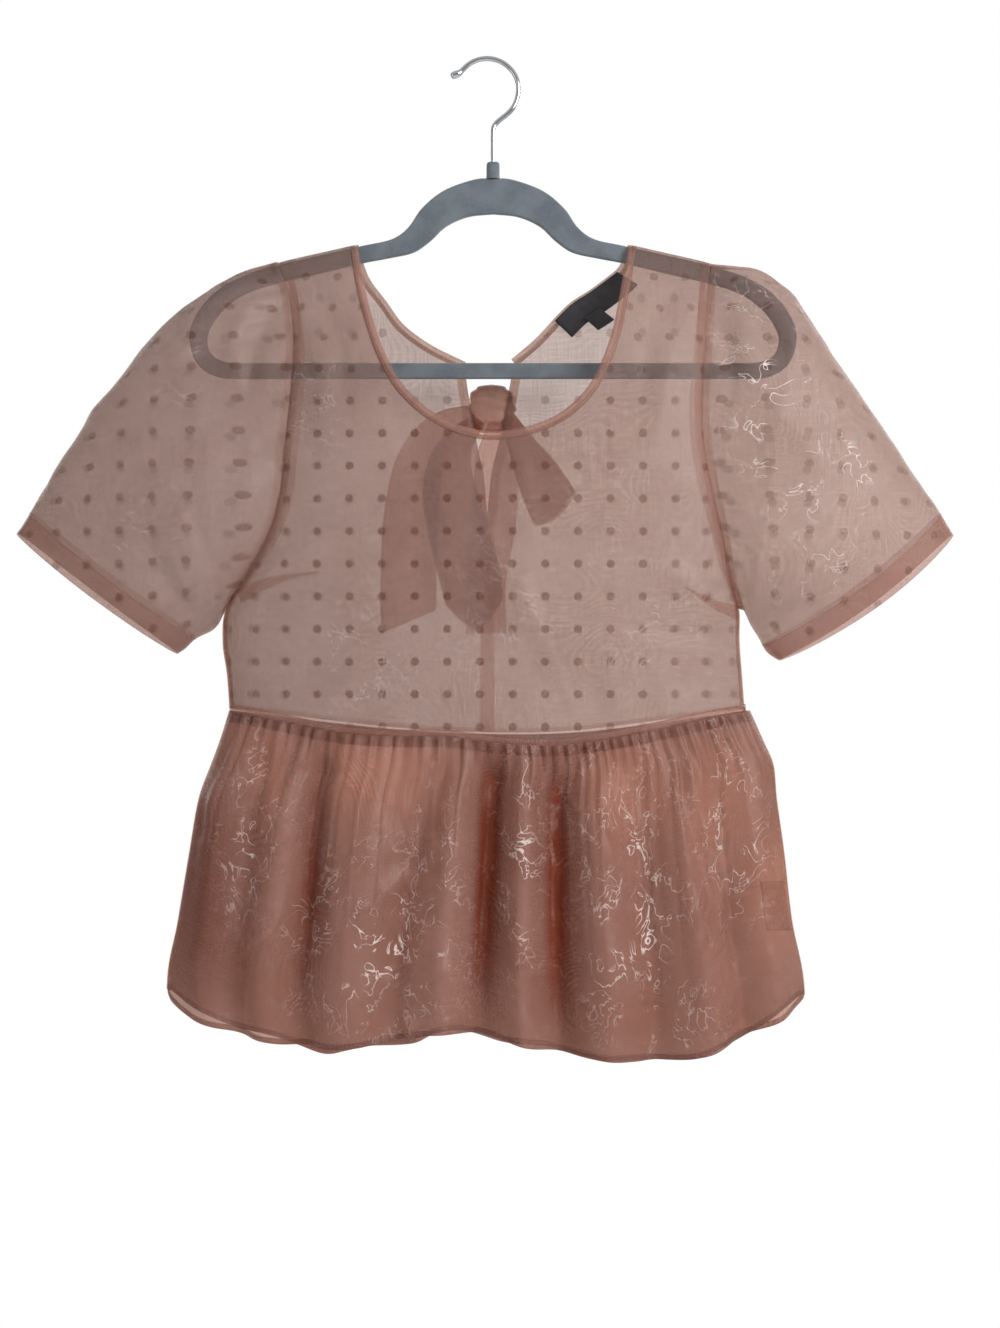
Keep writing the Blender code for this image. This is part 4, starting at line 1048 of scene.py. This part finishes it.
# Peplum
PEPLUM_ROWS = 110
PEPLUM_COLUMNS = 400
PEPLUM_LENGTH = 0.217
PEPLUM_HALF = 0.30
PEPLUM_CREASES = [
    (0.006, 0.0034, [(-0.1455, -0.484), (-0.151, -0.510), (-0.158, -0.540)]),
    (0.005, -0.0030, [(-0.139, -0.486), (-0.145, -0.512), (-0.150, -0.545)]),
    (0.005, 0.0032, [(-0.1187, -0.486), (-0.126, -0.500), (-0.131, -0.516)]),
    (0.006, 0.0040, [(-0.029, -0.494), (-0.040, -0.519), (-0.0574, -0.552)]),
    (0.006, -0.0036, [(-0.022, -0.497), (-0.030, -0.524), (-0.040, -0.560)]),
    (0.006, 0.0036, [(0.0623, -0.500), (0.052, -0.518), (0.0462, -0.540)]),
    (0.005, -0.0034, [(0.070, -0.500), (0.062, -0.524), (0.054, -0.548)]),
    (0.006, 0.0040, [(0.1469, -0.492), (0.1483, -0.530), (0.161, -0.579), (0.175, -0.632)]),
    (0.007, -0.0046, [(0.141, -0.492), (0.142, -0.535), (0.152, -0.585), (0.164, -0.640)]),
    (0.005, 0.0032, [(0.0835, -0.506), (0.082, -0.535), (0.090, -0.560), (0.104, -0.566)]),
    (0.005, 0.0030, [(0.124, -0.510), (0.118, -0.538), (0.108, -0.562)]),
    (0.007, -0.0030, [(0.096, -0.505), (0.100, -0.530), (0.098, -0.552)]),
    (0.007, 0.0042, [(-0.0328, -0.568), (-0.060, -0.594), (-0.092, -0.622)]),
    (0.007, 0.0036, [(-0.0780, -0.672), (-0.050, -0.658), (-0.0328, -0.656), (-0.006, -0.661)]),
    (0.006, 0.0030, [(-0.185, -0.640), (-0.160, -0.632), (-0.140, -0.618)]),
    (0.006, -0.0028, [(-0.200, -0.500), (-0.208, -0.530), (-0.205, -0.570)]),
]
# Painted highlight patches on the front peplum
PEPLUM_GLINTS = [
    (-0.165, -0.560, 0.022, 0.060, 0.05, 0.9), (-0.080, -0.640, 0.050, 0.060, 0.0, 1.0),
    (-0.035, -0.600, 0.018, 0.070, 0.0, 0.8), (0.024, -0.580, 0.014, 0.070, 0.0, 1.0),
    (0.100, -0.560, 0.035, 0.060, 0.0, 0.9), (0.105, -0.630, 0.035, 0.060, 0.2, 1.0),
    (0.175, -0.560, 0.028, 0.070, -0.1, 0.9), (0.130, -0.690, 0.040, 0.030, 0.0, 0.5),
]
# Patches of painted light
PEPLUM_PAINTED_LIGHT = [
    (-0.078, -0.520, 0.048, 0.036, 0.0, 0.36), (0.105, -0.530, 0.036, 0.042, 0.0, 0.34),
    (0.170, -0.540, 0.028, 0.055, 0.0, 0.30), (-0.160, -0.520, 0.018, 0.036, 0.0, 0.24),
    (0.212, -0.605, 0.024, 0.050, -0.05, 0.40),
]
# Patches of painted shade
PEPLUM_PAINTED_SHADE = [
    (-0.205, -0.600, 0.028, 0.085, 0.0, 0.48), (-0.124, -0.595, 0.012, 0.075, 0.0, 0.42),
    (0.002, -0.590, 0.013, 0.085, 0.0, 0.40), (0.054, -0.610, 0.017, 0.095, -0.05, 0.42),
]
# Painted highlight patches on the back peplum
PEPLUM_SHINE_BACK = [
    (-0.120, -0.600, 0.040, 0.070, 0.0, 0.6), (0.000, -0.620, 0.045, 0.070, 0.0, 0.5),
    (0.120, -0.590, 0.040, 0.070, 0.0, 0.6),
]


def gather_places(side):
    """Uneven places across the waist, -1 to 1, alternately in a gather and between two."""
    steps = []
    for index in range(2 * GATHERS):
        crowd = 1 - CROWDING * np.exp(-((index / GATHERS - 1 - CROWDED_AT) / 0.25) ** 2)
        steps.append(crowd * (1 + 0.30 * sin(1.9 * index + side) + 0.18 * sin(4.3 * index)))
    reach = np.concatenate([[0.0], np.cumsum(steps)])
    return 2 * reach / reach[-1] - 1


def peplum_points(place, down, side):
    """The peplum's inner face without its gathers and folds."""
    top, foot = PEPLUM[0], PEPLUM[-2]
    top_x = (top[1] + top[2]) / 2 + place * (top[2] - top[1]) / 2
    foot_x = (foot[1] + foot[2]) / 2 + place * (foot[2] - foot[1]) / 2
    high = height_on(WAIST_CURVES[side], top_x) - BAND_HEIGHT * 0.25
    z = high + (height_on(HEM_CURVES[side], foot_x) - high) * down
    left, right, front, back = at_height(PEPLUM_CURVE, z)
    full = front if side < 0 else back
    rounded = (1 - np.abs(place) ** ROUNDNESS) ** (1 / SQUARENESS)
    x = (left + right) / 2 + place * (right - left) / 2
    return np.stack([x, side * (EDGE_DEPTH + (full - EDGE_DEPTH) * rounded), z], -1)


def peplum(side, word, folds, creases, glints):
    gathers = gather_places(side)
    index = np.linspace(0, len(gathers) - 1, PEPLUM_COLUMNS)
    place = np.interp(index, np.arange(len(gathers)), gathers)
    down = (np.linspace(0, 1, PEPLUM_ROWS) ** 1.25)[::-1][:, None]
    place, down = np.broadcast_arrays(place, down)
    grid = peplum_points(place, down, side)
    fold = np.zeros(place.shape)
    for waist, hem, wide, deep, start in folds:
        middle = waist + (hem - waist) * down
        rise = smooth(down / (start + FOLD_EASE))
        fold += deep * rise * np.exp(-(((place - middle) / wide) ** 2))
    length = PEPLUM_LENGTH * down
    reach = GATHER_LENGTH * (1.0 + 0.55 * np.sin(2.3 * np.round(index) + side))
    wave = 0.0024 * (0.75 + 0.25 * np.sin(3.7 * index + side)) * -np.cos(pi * index)
    wave = wave * np.exp(-length / reach) * smooth((length + 0.004) / 0.010)
    small = 0.0010 * uneven(index * 0.004, length, 0.018, 31 + side)
    small += 0.0006 * uneven(grid[..., 0], grid[..., 2], 0.011, 37 + side)
    push = fold * 1.15 + wave + crease_push(grid[..., 0], grid[..., 2], creases)
    push = (push + small) * smooth((1 - np.abs(place)) / SEAM_EASE)
    # Painted shade in the fold troughs, stronger on the front and fading towards the hem, darker
    # just below the waist and in the gathers' troughs, then patches of painted light and of
    # painted shade
    painted_light_and_shade = np.clip((-fold - 0.003) / 0.011, 0, 1) ** 1.3 * (0.60 if side < 0 else 0.2)
    painted_light_and_shade = painted_light_and_shade * smooth((1.02 - down) / 0.30)
    painted_light_and_shade = painted_light_and_shade + 0.16 * np.exp(-length / 0.010) + 0.09 * np.clip(-wave / 0.002, 0, 1)
    painted_light_and_shade = painted_light_and_shade - patches(grid[..., 0], grid[..., 2], PEPLUM_PAINTED_LIGHT)
    painted_light_and_shade = painted_light_and_shade + patches(grid[..., 0], grid[..., 2], PEPLUM_PAINTED_SHADE)
    coords = np.stack([place * PEPLUM_HALF, -length], -1)
    grid, push, painted_light_and_shade, coords = (
        outward(item, side) for item in (grid, push, painted_light_and_shade, coords)
    )
    level = grid.copy()
    level[..., 2] = 0.0
    run = unit(np.gradient(level, axis=1))
    out = np.stack([run[..., 1], -run[..., 0], np.zeros(place.shape)], -1)
    grid = grid + out * (push + 0.0004)[..., None]
    # Painted highlight patches
    shine = patches(grid[..., 0], grid[..., 2], glints)
    made = sheet(f"organza_peplum_{word}", grid, coords, "plain",
                 painted_light_and_shade=painted_light_and_shade, glint=shine)
    hem, marks = inward_strip(grid, coords, "foot", PEPLUM_HEM, 0.0005, 3)
    rolled = sheet(f"peplum_hem_{word}", hem, marks, "trim")
    out = facing(hem)[-1]
    sewn = stitches(f"peplum_hem_{word}_stitches", hem[-1] + out * 0.0011, out)
    inner, marks = inward_strip(grid, coords, "top", WAIST_ALLOWANCE, 0.0008, 5)
    turned = sheet(f"peplum_{word}_waist_allowance", inner, marks, "plain")
    return made, [rolled, sewn, turned], grid


peplum_front, front_extra, before = peplum(
    -1, "front", FOLDS_FRONT, PEPLUM_CREASES, PEPLUM_GLINTS
)
peplum_back, back_extra, behind = peplum(1, "back", FOLDS_BACK, [], PEPLUM_SHINE_BACK)
peplum_seams = [
    side_seam("peplum_seam_left", before[:, 0], behind[:, -1], -1),
    side_seam("peplum_seam_right", before[:, -1], behind[:, 0], 1),
]


# Sleeves
SLEEVE_ROWS = 130
SLEEVE_SIDES = 150
SLEEVE_GATHERS = 30
SLEEVE_FOLDS = 11
SLEEVE_CREASES = {
    -1: [
        (0.007, 0.0030, [(-0.156, -0.172), (-0.176, -0.190), (-0.186, -0.228)]),
        (0.006, -0.0030, [(-0.152, -0.185), (-0.166, -0.210), (-0.170, -0.250)]),
        (0.008, 0.0032, [(-0.170, -0.160), (-0.204, -0.186), (-0.226, -0.235)]),
        (0.009, 0.0030, [(-0.196, -0.405), (-0.210, -0.370), (-0.222, -0.320)]),
        (0.008, -0.0030, [(-0.205, -0.412), (-0.228, -0.385), (-0.250, -0.340)]),
        (0.010, 0.0026, [(-0.152, -0.300), (-0.175, -0.330), (-0.190, -0.370)]),
    ],
    1: [
        (0.007, 0.0032, [(0.166, -0.172), (0.184, -0.192), (0.192, -0.232)]),
        (0.006, -0.0032, [(0.164, -0.188), (0.174, -0.214), (0.176, -0.256)]),
        (0.008, 0.0034, [(0.180, -0.160), (0.208, -0.184), (0.226, -0.228)]),
        (0.009, -0.0030, [(0.196, -0.410), (0.212, -0.372), (0.236, -0.332)]),
        (0.009, 0.0034, [(0.206, -0.416), (0.232, -0.392), (0.262, -0.356)]),
        (0.008, 0.0030, [(0.178, -0.240), (0.214, -0.268), (0.250, -0.312)]),
    ],
}
# Painted highlight patches on each sleeve
SLEEVE_GLINTS = {
    -1: [(-0.215, -0.240, 0.030, 0.050, 0.2, 0.20), (-0.250, -0.330, 0.040, 0.040, 0.0, 0.25)],
    1: [(0.205, -0.260, 0.032, 0.085, -0.20, 1.3), (0.265, -0.300, 0.020, 0.045, 0.0, 0.9),
        (0.235, -0.370, 0.045, 0.030, 0.0, 0.7)],
}


def sleeve(hand, word):
    half = SLEEVE_SIDES // 2
    high = float(shoulder_z(SHOULDER_TIP[hand]))
    turn = 2 * pi * np.arange(SLEEVE_SIDES) / SLEEVE_SIDES
    heights = high + (UNDERARM_Z - high) * (1 - np.cos(turn)) / 2
    edges = at_height(BODICE_CURVE, heights)[0 if hand < 0 else 1]
    seam = np.array([
        body_points(x, z, -1 if number <= half else 1)
        for number, (x, z) in enumerate(zip(edges, heights))
    ])
    seam[[0, half], 1] = 0.0
    seam[:, 0] += hand * 0.0004
    share = np.linspace(0, 1, SLEEVE_ROWS) ** 1.15
    top_line, bottom_line = through(SLEEVE_TOP[hand]), through(UNDERARM[hand])
    top_line[0], bottom_line[0] = seam[0][[0, 2]], seam[half][[0, 2]]
    top, bottom = at_shares(top_line, share), at_shares(bottom_line, share)
    front = looked_up(share, SLEEVE_DEPTH)[:, None]
    back = looked_up(share, SLEEVE_DEPTH, 2)[:, None]
    middle = ((top + bottom) / 2)[:, None]
    lean = ((top - bottom) / 2)[:, None]
    flat = middle + lean * np.cos(turn)[None, :, None]
    depth = np.where(np.sin(turn) > 0, -front, back) * np.abs(np.sin(turn)) ** SLEEVE_FLATNESS
    run = np.abs(unit(top - bottom))
    bulge = HEM_BULGE[hand] * share[:, None] ** 2 * np.sin(turn) ** 2
    tube = np.stack([
        flat[..., 0] + hand * run[:, 1:] * bulge, depth, flat[..., 1] - run[:, :1] * bulge,
    ], -1)
    stay = np.maximum(1 - share / ARMHOLE_REACH, 0.0) ** 2
    grid = tube + (seam - tube[0]) * stay[:, None, None]

    around = np.arange(SLEEVE_SIDES)
    from_top = np.minimum(around, SLEEVE_SIDES - around) / SLEEVE_SIDES
    out_along = share[:, None]
    fade = np.exp(-out_along / 0.11) * smooth(out_along / 0.03)
    reach = smooth((0.27 - from_top) / 0.08)
    gathers = np.cos(SLEEVE_GATHERS * turn + 1.4 * np.sin(around * 0.35))
    crown = smooth((0.13 - from_top) / 0.10)
    push = 0.0021 * fade * reach * (gathers - 0.9 * crown)
    long_folds = np.cos(SLEEVE_FOLDS * turn + 0.8 * np.sin(around * 0.21))
    fade = np.exp(-out_along / 0.28) * smooth(out_along / 0.08)
    push = push + 0.0016 * fade * reach * (long_folds - 0.9 * crown)
    x, z = grid[..., 0], grid[..., 2]
    is_front = smooth(np.sin(turn) * 4 + 0.2)
    push = push + crease_push(x, z, SLEEVE_CREASES[hand]) * is_front
    push = push + crease_push(x, z + 0.02, SLEEVE_CREASES[hand]) * 0.8 * (1 - is_front)
    far = np.where(np.sin(turn) > 0, 0.0, 1.0)
    rough = 0.0013 * uneven(x + far, z, 0.036, 41 + hand)
    rough = rough + 0.0006 * uneven(x + far, z, 0.013, 43 + hand)
    push = push + rough * smooth(out_along / 0.1)
    push = push * smooth((1.0 - out_along) / 0.05 + 0.25)
    grid, push = outward(grid, -hand), outward(push, -hand)
    grid = grid + facing(grid, ring=True) * (push + 0.0004)[..., None]

    ring = outward(grid, -hand)
    steps = np.linalg.norm(ring - np.roll(ring, 1, axis=1), axis=2)
    round_arm = np.cumsum(steps, 1)
    quarter = SLEEVE_SIDES // 4
    rise = np.where(around <= half, round_arm[:, quarter:quarter + 1] - round_arm,
                    round_arm - round_arm[:, 3 * quarter + 1:3 * quarter + 2])
    up_arm = lean[:, 0] / np.linalg.norm(lean[:, 0], axis=1)[:, None]
    across = middle[:, 0, :1] + rise * up_arm[:, :1]
    up = middle[:, 0, 1:] + rise * up_arm[:, 1:]
    across, up = np.where(around <= half, (across, up), matched(across, up))
    coords = closed(outward(np.stack([across - DOT_X, up - DOT_Z], -1), -hand))
    # Painted light and shade across the width and a painted shade patch; painted highlights,
    # weaker on the sleeve's back half
    painted_light_and_shade = shade(grid[..., 0]) + patches(grid[..., 0], grid[..., 2], SLEEVE_SHADE)
    shine = patches(grid[..., 0], grid[..., 2], SLEEVE_GLINTS[hand])
    shine = shine * np.where(grid[..., 1] < 0, 1.0, 0.3)
    made = sheet(f"organza_sleeve_{word}", grid, coords, "dotted",
                 ring=True, painted_light_and_shade=painted_light_and_shade, glint=shine)
    hem, marks = inward_strip(grid, coords, "top", SLEEVE_HEM, 0.0007, 7, ring=True)
    turned = sheet(f"sleeve_hem_{word}", hem, marks, "hidden", ring=True)
    line, outer = np.vstack([hem[0], hem[0][:1]]), facing(hem, ring=True)[0]
    outer = np.vstack([outer, outer[:1]])
    sewn = stitches(f"sleeve_hem_{word}_stitches", line + outer * 0.0012, outer)
    inner, marks = inward_strip(grid, coords, "foot", ARMHOLE_ALLOWANCE, 0.0007, 5, ring=True)
    allowance = sheet(f"sleeve_{word}_armhole_allowance", inner, marks, "hidden",
                      ring=True)
    return made, [turned, sewn, allowance]


sleeves = {hand: sleeve(hand, word) for hand, word in WORDS.items()}


# Bow at the back neck
def ribbon(word, spot, loop, finish, cut, round_end):
    """A tied band of doubled cloth: pleated at the knot and spreading to its end."""
    angle, depth, clear, bands = spot
    turn = radians(angle)
    flat = cos(np.arcsin(depth)) * clear
    start = (KNOT[0] + KNOT_HALF[0] * cos(turn) * flat, KNOT[1] + KNOT_HALF[1] * depth,
             KNOT[2] + KNOT_HALF[2] * sin(turn) * flat, ROOT_WIDTH)
    line = through([start] + bands, 70)
    run = unit(np.gradient(line[:, [0, 2]], axis=0))
    share = np.linspace(0, 1, len(line))[:, None]
    across = np.linspace(-0.5, 0.5, 41)[None, :]
    pleats = 0.0016 * np.exp(-share / 0.30) * np.cos(2 * pi * 4.5 * across + 2 * share)
    pleats = pleats + 0.0009 * np.cos(2 * pi * 1.5 * across + 3.0 * share + len(word))
    pleats = pleats + 0.0006 * uneven(share * 0.2 + across * 0.02, across * 0.05, 0.014, len(word))
    offset = line[:, 3:4] * across
    flat_rows = np.stack([
        line[:, :1] - run[:, 1:] * offset, line[:, 1:2] + pleats,
        line[:, 2:3] + run[:, :1] * offset,
    ], -1)
    end = 1 - cut * (across[0] + 0.5) - round_end * (2 * across[0]) ** 2
    number = np.arange(len(line)) / (len(line) - 1)
    rows = np.zeros(flat_rows.shape)
    for column, axis in np.ndindex(rows.shape[1:]):
        rows[:, column, axis] = np.interp(number * end[column], number,
                                          flat_rows[:, column, axis])
    if loop:
        apart = np.array([0.0, LOOP_OPEN / 2, 0.0])
        ahead = np.array([run[-1][0], 0.0, run[-1][1]])
        bend = [rows[-1] + ahead * LOOP_OPEN / 2 * cos(turned) + apart * sin(turned)
                for turned in np.linspace(-pi / 2, pi / 2, 9)[1:-1]]
        inner = rows[:, 1:-1]
        layers = [
            np.array([*(rows - apart), *bend, *(rows[::-1] + apart)])[:, ::-1],
            (inner - apart * 0.55)[:, ::-1], inner + apart * 0.55,
        ]
    else:
        layers = [rows[:, ::-1], rows[:, ::-1] - np.array([0.0, 0.0009, 0.0])]
    made = []
    for number, grid in enumerate(layers):
        name = f"bow_{word}" if not number else f"bow_{word}_lining_{number}"
        made.append(sheet(name, grid, flat_coords(grid), finish))
    edge = rows[:, 1] + np.array([0.0, 0.0020 if loop else 0.0006, 0.0])
    out = np.tile([0.0, 1.0, 0.0], (len(edge), 1))
    made.append(stitches(f"bow_{word}_stitches", edge, out))
    return made


def knot():
    """The wrapped knot: a band of pleats drawn round the middle of the bow."""
    rows = []
    for up in np.linspace(-0.5 * pi, 0.5 * pi, 60)[1:-1]:
        around = np.linspace(0, 2 * pi, 96, endpoint=False)
        wrap = 1 + 0.060 * np.cos(9 * up + 1.5 * np.sin(around)) \
            + 0.03 * np.cos(15 * up + 2 * around)
        wide = cos(up) ** 0.5
        rows.append(np.stack([
            KNOT[0] + KNOT_HALF[0] * 0.98 * wide * np.cos(around) * wrap,
            KNOT[1] + KNOT_HALF[1] * 1.05 * wide * np.sin(around) * wrap,
            KNOT[2] - 0.003 + KNOT_HALF[2] * 1.2 * sin(up) * (1 + 0.03 * np.sin(3 * around)),
        ], -1))
    grid = np.array(rows)
    high = np.linspace(0, 1, len(grid))[:, None]
    # Painted shade across the top of the knot, where its inside is in shadow, and a little painted
    # light towards its foot
    painted_light_and_shade = 0.35 * smooth((high - 0.70) / 0.20) - 0.14 * (1 - high)
    return sheet("bow_knot", grid, closed(flat_coords(grid)), "trim", wall=0.0008,
                 ring=True, painted_light_and_shade=painted_light_and_shade)


bow = {
    "tie_tail_left": ribbon("tail_left", TAIL_LEFT, False, "sheer_tie", 0.09, 0.0),
    "tie_tail_right": ribbon("tail_right", TAIL_RIGHT, False, "hidden", -0.10, 0.0),
    "tie_loop_left": ribbon("loop_left", LOOP_LEFT, True, "tie", 0.0, 0.12),
    "tie_loop_right": ribbon("loop_right", LOOP_RIGHT, True, "sheer_tie", 0.10, 0.06),
}
bow_knot = knot()


# Labels
def neck_patch(spot, inward, steps=24):
    start, end, near, far = spot
    rows = []
    for offset in np.linspace(far, near, steps):
        line = beside(through(NECK_BACK_RIGHT), offset)
        run = at_shares(line, np.linspace(start, end, steps))
        rows.append(body_points(run[:, 0], run[:, 1], 1) - np.array([0.0, inward, 0.0]))
    return np.array(rows)[:, ::-1]


def label(name, grid, finish, seed):
    sag = 0.0005 * uneven(*flat_coords(grid).transpose(2, 0, 1), 0.012, seed)
    grid = grid + facing(grid) * sag[..., None]
    return sheet(name, grid, flat_coords(grid), finish, wall=0.0005)


inward = LABEL_CLEAR + LABEL_WALL
neck_label = label("blank_neck_label", neck_patch(NECK_LABEL, inward), "dark_label", 51)
size_tab = label("blank_size_tab", neck_patch(SIZE_TAB, 2 * inward), "dark_label", 52)
rows = []
across = np.linspace(0, 1, 14)
for z in np.linspace(CARE_LOW, CARE_HIGH, 24):
    edge = at_height(PEPLUM_CURVE, z)[1] - LABEL_CLEAR
    rows.append(np.stack([edge - across * CARE_WIDTH, 0.0010 * np.sin(4 * across + z * 40),
                          np.full(across.shape, z)], -1))
care_label = label("blank_care_label", np.array(rows), "white_label", 53)


# Hanger
def outline(points, curve_data):
    half = through(points, 140)
    right = [(HANGER_X + out, z) for out, z in half]
    left = [(HANGER_X - out, z) for out, z in half[::-1][:-1]]
    spline = curve_data.splines.new("POLY")
    spline.points.add(len(right + left) - 1)
    for point, (x, z) in zip(spline.points, right + left):
        point.co = (x, z, 0.0, 1.0)
    spline.use_cyclic_u = True


def to_mesh(made):
    """Turns a curve object into a mesh in the row frame."""
    bpy.context.view_layer.update()
    graph = bpy.context.evaluated_depsgraph_get()
    mesh = bpy.data.meshes.new_from_object(made.evaluated_get(graph))
    mesh.transform(made.matrix_world)
    name = made.name
    bpy.data.objects.remove(made)
    return linked(name, mesh)


flat = bpy.data.curves.new("flocked_hanger", "CURVE")
flat.dimensions = "2D"
flat.fill_mode = "BOTH"
outline(HANGER_OUTER, flat)
outline(HANGER_INNER, flat)
flat.extrude = HANGER_THICK / 2 - HANGER_EDGE
flat.bevel_depth = HANGER_EDGE
flat.bevel_resolution = 4
flat.offset = -HANGER_EDGE
hanger = linked("flocked_hanger", flat)
hanger.rotation_euler = (pi / 2, 0.0, 0.0)
hanger = to_mesh(hanger)
hanger.data.shade_smooth()
hanger.data.set_sharp_from_angle(angle=radians(50))
ready(hanger, "flock")
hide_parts("hanger_body")

# Radius and height above the yoke, down the collar
COLLAR = [
    (0.0019, 0.0118), (0.0036, 0.0118), (0.0043, 0.0114), (0.0047, 0.0104), (0.0048, 0.0090),
    (0.0048, 0.0016), (0.0050, 0.0003), (0.0052, -0.0006),
]
turns = np.linspace(0, 2 * pi, 48, endpoint=False)
grid = np.array([
    [(HANGER_X + r * cos(a), r * sin(a), YOKE_TOP + z) for a in turns]
    for r, z in COLLAR[::-1]
])
collar = sheet("hanger_collar_flocked", grid, closed(flat_coords(grid)), "flock",
               wall=0.0, ring=True)
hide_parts("hanger_collar")

# The hook: where its stem rises from the collar, and the flick at its tip
STEM = [(HANGER_X, -0.056), (HANGER_X + 0.0012, -0.047)]
FLICK = [(-0.0205, -0.0088), (-0.0262, -0.0112)]
wire = bpy.data.curves.new("wire_hook", "CURVE")
wire.dimensions = "3D"
wire.bevel_depth = WIRE_RADIUS
wire.bevel_resolution = 6
wire.use_fill_caps = True
arc = []
for degrees in np.linspace(-50, 138, 70):
    angle = radians(degrees)
    arc.append((HOOK_RADIUS * cos(angle), WIRE_RADIUS - HOOK_RADIUS + HOOK_RADIUS * sin(angle)))
stem = through([*STEM, *arc[:1]], 14)
flick = through([arc[-1], *FLICK], 12)
route = [(HANGER_X, YOKE_TOP + 0.0006), *stem[:-1], *arc, *flick[1:]]
spline = wire.splines.new("POLY")
spline.points.add(len(route) - 1)
for number, (point, (x, z)) in enumerate(zip(spline.points, route)):
    point.co = (x, 0.0, z, 1.0)
    back = len(route) - 1 - number
    point.radius = float(np.interp(back, [0, 1, 3, 6, 8], [0.9, 1.35, 1.5, 1.35, 1.0]))
hook = to_mesh(linked("wire_hook", wire))
hook.data.shade_smooth()
ready(hook, "steel")
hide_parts("hanger_hook")

# The darts and seam strips, and hiding the solid parts that the sheets replace
declare("bodice_front",
        dart("dart_left", [(-0.180, -0.392), (-0.153, -0.381), (-0.120, -0.375)], -1)
        + dart("dart_right", [(0.184, -0.404), (0.165, -0.398), (0.143, -0.386)], -1)
        + seam_strips("front", front_grid, front_coords, ["left", "right"], FRONT_ALLOWANCE)
        + body_seams)
for hand, word in WORDS.items():
    # Seen from behind, the left half's centre edge is its left one, the right half's its right
    made, grid, coords = backs[hand]
    low = grid[:, EDGE_COLUMN[hand], 2] < SLIT_FOOT
    strips = seam_strips(f"back_{word}", grid[low], coords[low], [word], CENTRE_ALLOWANCE,
                         "tie")
    strips += seam_strips(f"back_{word}", grid, coords, [WORDS[-hand]], BACK_ALLOWANCE,
                          "hidden")
    declare(f"bodice_back_{word}", strips)
    made, sewn = plackets[hand]
    declare(f"placket_{word}",
            [sewn])
    made, sewn = back_bindings[hand]
    declare(f"neck_binding_back_{word}",
            [sewn])
    made, extra = sleeves[hand]
    declare(f"sleeve_{word}",
            extra)
declare("neck_binding_front",
        [front_sewn])
declare("waist_band_front")
declare("waist_band_back")
declare("peplum_front",
        front_extra + peplum_seams)
declare("peplum_back",
        back_extra)
for node, made in bow.items():
    declare(node, made[1:])
declare("tie_knot")
declare("neck_label")
declare("size_tab")
declare("care_label")

# Floor, light and camera
FLOOR_Z = -1.35
scene = bpy.context.scene
scene.view_settings.view_transform = "Standard"
scene.cycles.transparent_max_bounces = 64


def studio_white(name):
    """A pale surface that shows white and sends soft light back."""
    make = Finish(name)
    seen = make.add("ShaderNodeLightPath")
    shine = make.add("ShaderNodeEmission", {"Color": colour(1, 1, 1), "Strength": 1.0})
    plain = make.add("ShaderNodeBsdfDiffuse", {"Color": colour(0.8, 0.8, 0.8)})
    return make.done(make.add("ShaderNodeMixShader", {0: seen, 1: plain, 2: shine}))


bpy.ops.mesh.primitive_plane_add(size=40, location=(0, 0, FLOOR_Z))
floor = bpy.context.object
floor.name = "floor"
floor.data.materials.append(studio_white("floor_white"))

world = scene.world or bpy.data.worlds.new("studio")
scene.world = world
make = Finish("studio", world)
height = make.add("ShaderNodeSeparateXYZ", {0: make.add("ShaderNodeTexCoord")}, out=2)
levels = make.add("ShaderNodeValToRGB", {0: height})
for stop, place, grey in zip(levels.node.color_ramp.elements, (0.0, 0.55),
                             ((0.10, 0.10, 0.11, 1), (0.75, 0.76, 0.78, 1))):
    stop.position = place
    stop.color = grey
soft = make.add("ShaderNodeBackground", {0: levels, 1: 0.7})
bright = make.add("ShaderNodeBackground", {0: (1, 1, 1, 1), 1: 1.0})
seen = make.add("ShaderNodeLightPath")
make.done(make.add("ShaderNodeMixShader", {0: seen, 1: soft, 2: bright}), "ShaderNodeOutputWorld")

CENTRE = np.array([0.0, 0.0, -0.42])
LENS = 59.3
# Lamps: place, width and power
LIGHTS = [
    ("key", (1.00, -1.10, 0.12), 0.9, 21.0),
    ("fill", (-1.50, -1.60, -0.10), 1.3, 4.0),
    ("back_right", (1.30, 1.80, 0.30), 1.2, 16.0),
    ("back_left", (-1.30, 1.70, 0.10), 1.2, 10.0),
]
for name, spot, size, power in LIGHTS:
    data = bpy.data.lights.new(name, "AREA")
    data.shape = "DISK"
    data.size = size
    data.energy = power
    lamp = linked(name, data)
    lamp.location = spot
    lamp.rotation_mode = "QUATERNION"
    lamp.rotation_quaternion = Vector(CENTRE - np.array(spot)).to_track_quat("-Z", "Y")

view = bpy.data.cameras.new("view")
view.lens = LENS
view.sensor_width = 36.0
camera = linked("view", view)
camera.location = CAMERA
camera.rotation_euler = (pi / 2, 0.0, 0.0)
scene.camera = camera
